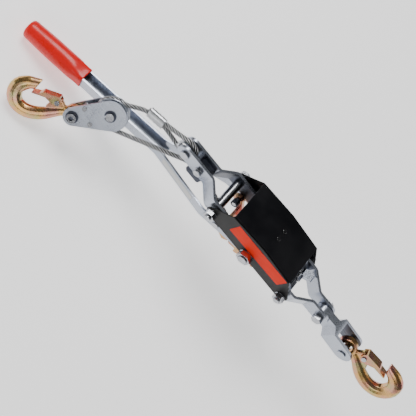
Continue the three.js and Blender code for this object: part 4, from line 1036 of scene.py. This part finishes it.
bpy.ops.object.mode_set(mode="EDIT")
for band in range(1, bands):
    cut_at = on_ferrule(band)
    bpy.ops.mesh.select_all(action="SELECT")
    bpy.ops.mesh.bisect(plane_co=cut_at[:], plane_no=return_way[:])
bpy.ops.object.mode_set(mode="OBJECT")
for band in range(1, bands, 2):
    centre = on_ferrule(band, tail_side / 2)
    bpy.ops.object.mode_set(mode="EDIT")
    bpy.ops.mesh.select_all(action="DESELECT")
    bpy.ops.object.mode_set(mode="OBJECT")
    for vertex in ferrule.data.vertices:
        offset = (vertex.co - centre) / MM
        from_ropes = math.hypot(max(0, abs(offset.dot(eye_side)) - rope_radius), offset.y)
        on_skin = from_ropes > rope_radius + 0.7
        vertex.select = on_skin and abs(offset.dot(return_way)) < 0.1
    bpy.ops.object.mode_set(mode="EDIT")
    bpy.ops.transform.resize(value=(0.93, 0.84, 0.93), center_override=centre[:])
    bpy.ops.object.mode_set(mode="OBJECT")
    print("pressed", sum(vertex.select for vertex in ferrule.data.vertices), "points")
apply_modifier(
    ferrule, "BEVEL", width=0.3 * MM, segments=2, limit_method="ANGLE", angle_limit=math.radians(40),
)
bpy.ops.object.shade_smooth_by_angle(angle=math.radians(40))
take_place(ferrule, "ferrule", pressed_aluminium)
print("ferrule", len(ferrule.data.polygons), "faces")

# %% [markdown]
# ## The grip
# The red grip is a moulded vinyl sleeve. At its rim it hugs the square channel, and where the
# hand holds it it is round. It could be lofted through drawn sections. Here one ring of points
# is extruded from station to station, and then every ring is pressed into its own section, a
# curve that runs from an ellipse to a rounded square as its squareness grows.

# %% Stations of the grip
droop = math.radians(16.3)
handle_way = Vector((-math.cos(droop), 0, -math.sin(droop)))
handle_up = Vector((-math.sin(droop), 0, math.cos(droop)))
near = Vector((0, -1, 0))
grip_start = 279.0
grip_stations = [
    # from the rim, half width, half height, squareness
    (0.0, 10.0, 8.5, 5.0), (0.02, 10.7, 9.2, 5.0), (0.5, 11.1, 9.6, 5.0), (1.4, 11.3, 9.8, 4.8),
    (3.0, 11.2, 9.7, 4.6), (7.0, 11.2, 9.8, 4.4), (12.0, 11.6, 10.8, 3.4), (16.0, 12.4, 12.0, 2.8),
    (20.0, 13.1, 12.8, 2.3), (27.0, 13.4, 13.4, 2.0), (40.0, 13.5, 13.5, 2.0), (52.0, 13.5, 13.5, 2.0),
    (64.0, 13.2, 13.2, 2.0), (74.0, 12.8, 12.8, 2.0), (80.0, 12.5, 12.5, 2.0), (83.5, 12.6, 12.6, 2.0),
    (86.0, 12.5, 12.5, 2.0), (88.4, 11.9, 11.9, 2.0), (89.8, 10.6, 10.6, 2.0), (90.4, 8.8, 8.8, 2.0),
    (90.5, 4.5, 4.5, 2.0),
]
print("grip stations", len(grip_stations))

# %% Draw out the grip
grip_sides = 56
bpy.ops.object.select_all(action="DESELECT")
bpy.ops.mesh.primitive_circle_add(vertices=grip_sides, radius=MM, location=(0, 0, 0))
grip = bpy.context.active_object
grip.name = "vinyl_grip"
bpy.ops.object.mode_set(mode="EDIT")
bpy.ops.mesh.select_all(action="SELECT")
bpy.ops.transform.resize(value=(grip_stations[0][1], grip_stations[0][2], 1))
for before, after in zip(grip_stations, grip_stations[1:]):
    step = (after[0] - before[0]) * MM
    bpy.ops.mesh.extrude_edges_move(TRANSFORM_OT_translate={"value": (0, 0, step)})
    bpy.ops.transform.resize(value=(after[1] / before[1], after[2] / before[2], 1))
bpy.ops.mesh.edge_face_add()
bpy.ops.object.mode_set(mode="OBJECT")
print("rings", len(grip_stations), "points", len(grip.data.vertices))

# %% [markdown]
# Every ring is an ellipse so far. Where the vinyl grips the square channel the rings are pressed
# outwards toward their corners. Then the finished sleeve is turned and moved onto the handle.

# %% Square the rim and seat the grip
for vertex in grip.data.vertices:
    height = vertex.co.z / MM
    along, half_wide, half_high, square = min(grip_stations, key=lambda station: abs(station[0] - height))
    across, up = vertex.co.x / (half_wide * MM), vertex.co.y / (half_high * MM)
    outward = (abs(across) ** square + abs(up) ** square) ** (-1 / square)
    vertex.co.x *= outward
    vertex.co.y *= outward
seat = Matrix((near, handle_up, handle_way)).transposed().to_4x4()
seat.translation = axle + handle_way * grip_start * MM
grip.matrix_world = seat
bpy.ops.object.select_all(action="DESELECT")
grip.select_set(True)
bpy.context.view_layer.objects.active = grip
bpy.ops.object.transform_apply(location=True, rotation=True, scale=True)
bpy.ops.object.mode_set(mode="EDIT")
bpy.ops.mesh.select_all(action="SELECT")
bpy.ops.mesh.normals_make_consistent(inside=False)
bpy.ops.object.mode_set(mode="OBJECT")
apply_modifier(grip, "SUBSURF", levels=1, render_levels=1)
bpy.ops.object.shade_smooth_by_angle(angle=math.radians(60))
take_place(grip, "handle_grip", red_vinyl)
print("grip", [round(v * 1000, 1) for v in grip.dimensions], "mm")

# %% [markdown]
# ## Bare labels
# The cover's side carries an orange-red label and the handle's near leg a white one. Both are
# left plain. A patch of colour in the paint would have no edge, so each label is a plane with
# its corners rounded, given the thickness of a film and set a hair above the metal.

# %% Stick the labels
def stick_label(name, corners, outward, material, body, thick=0.15, rounding=1.2):
    bpy.ops.object.select_all(action="DESELECT")
    bpy.ops.mesh.primitive_plane_add(size=1, location=(0, 0, 0))
    label = bpy.context.active_object
    label.name = name
    order = [corners[0], corners[1], corners[3], corners[2]]
    for vertex, corner in zip(label.data.vertices, order):
        vertex.co = corner
    bpy.ops.object.mode_set(mode="EDIT")
    bpy.ops.mesh.select_all(action="SELECT")
    bpy.ops.mesh.bevel(offset=rounding * MM, segments=3, affect="VERTICES")
    bpy.ops.mesh.extrude_region_move(TRANSFORM_OT_translate={"value": (outward * thick * MM)[:]})
    bpy.ops.mesh.select_all(action="SELECT")
    bpy.ops.mesh.normals_make_consistent(inside=False)
    bpy.ops.object.mode_set(mode="OBJECT")
    label.data.materials.append(material)
    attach(label, body)
    return label


film_gap = 0.03
panel_face = (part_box("near_cover_panel")[0][1] - axle.y) / MM - film_gap
cover_label_corners = [
    place(x, panel_face, z) for x, z in ((-38.5, 7.4), (48.8, 9.4), (49.2, 30.0), (-38.3, 29.2))
]
cover_label = stick_label("cover_label", cover_label_corners, near, label_red, "frame")
print("label", [round(v * 1000, 1) for v in cover_label.dimensions], "mm")

# %% [markdown]
# The handle's near leg slants inward from the drum to the channel, and its label lies on that
# slant. It could be wrapped on with a modifier, but the leg is flat there, so the slant's two
# ends, seen from above, give the plane to lie on.

# %% The white label
slant_start, slant_end = Vector((74.0, 28.0)), Vector((160.0, 7.5))
leg_face = 1.54  # half the leg's sheet and a hair of air
slant = (slant_end - slant_start).normalized()
outward = Vector((-slant.y, slant.x))


def on_leg(share, height):
    flat = slant_start.lerp(slant_end, share) + outward * leg_face
    return axle + (handle_way * flat.x + near * flat.y + handle_up * height) * MM


leg_label = stick_label(
    "leg_label",
    [on_leg(0.20, -4.4), on_leg(0.84, -4.4), on_leg(0.84, 4.6), on_leg(0.20, 4.6)],
    handle_way * outward.x + near * outward.y, label_white, "handle",
)
print("leg label", [round(v * 1000, 1) for v in leg_label.dimensions], "mm")

# %% Finish
scene_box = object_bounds()
pairs = list(zip(cad_box, scene_box))
print("grows by mm", [round((b - a) / MM, 2) for packed, shown in pairs for a, b in zip(packed, shown)])
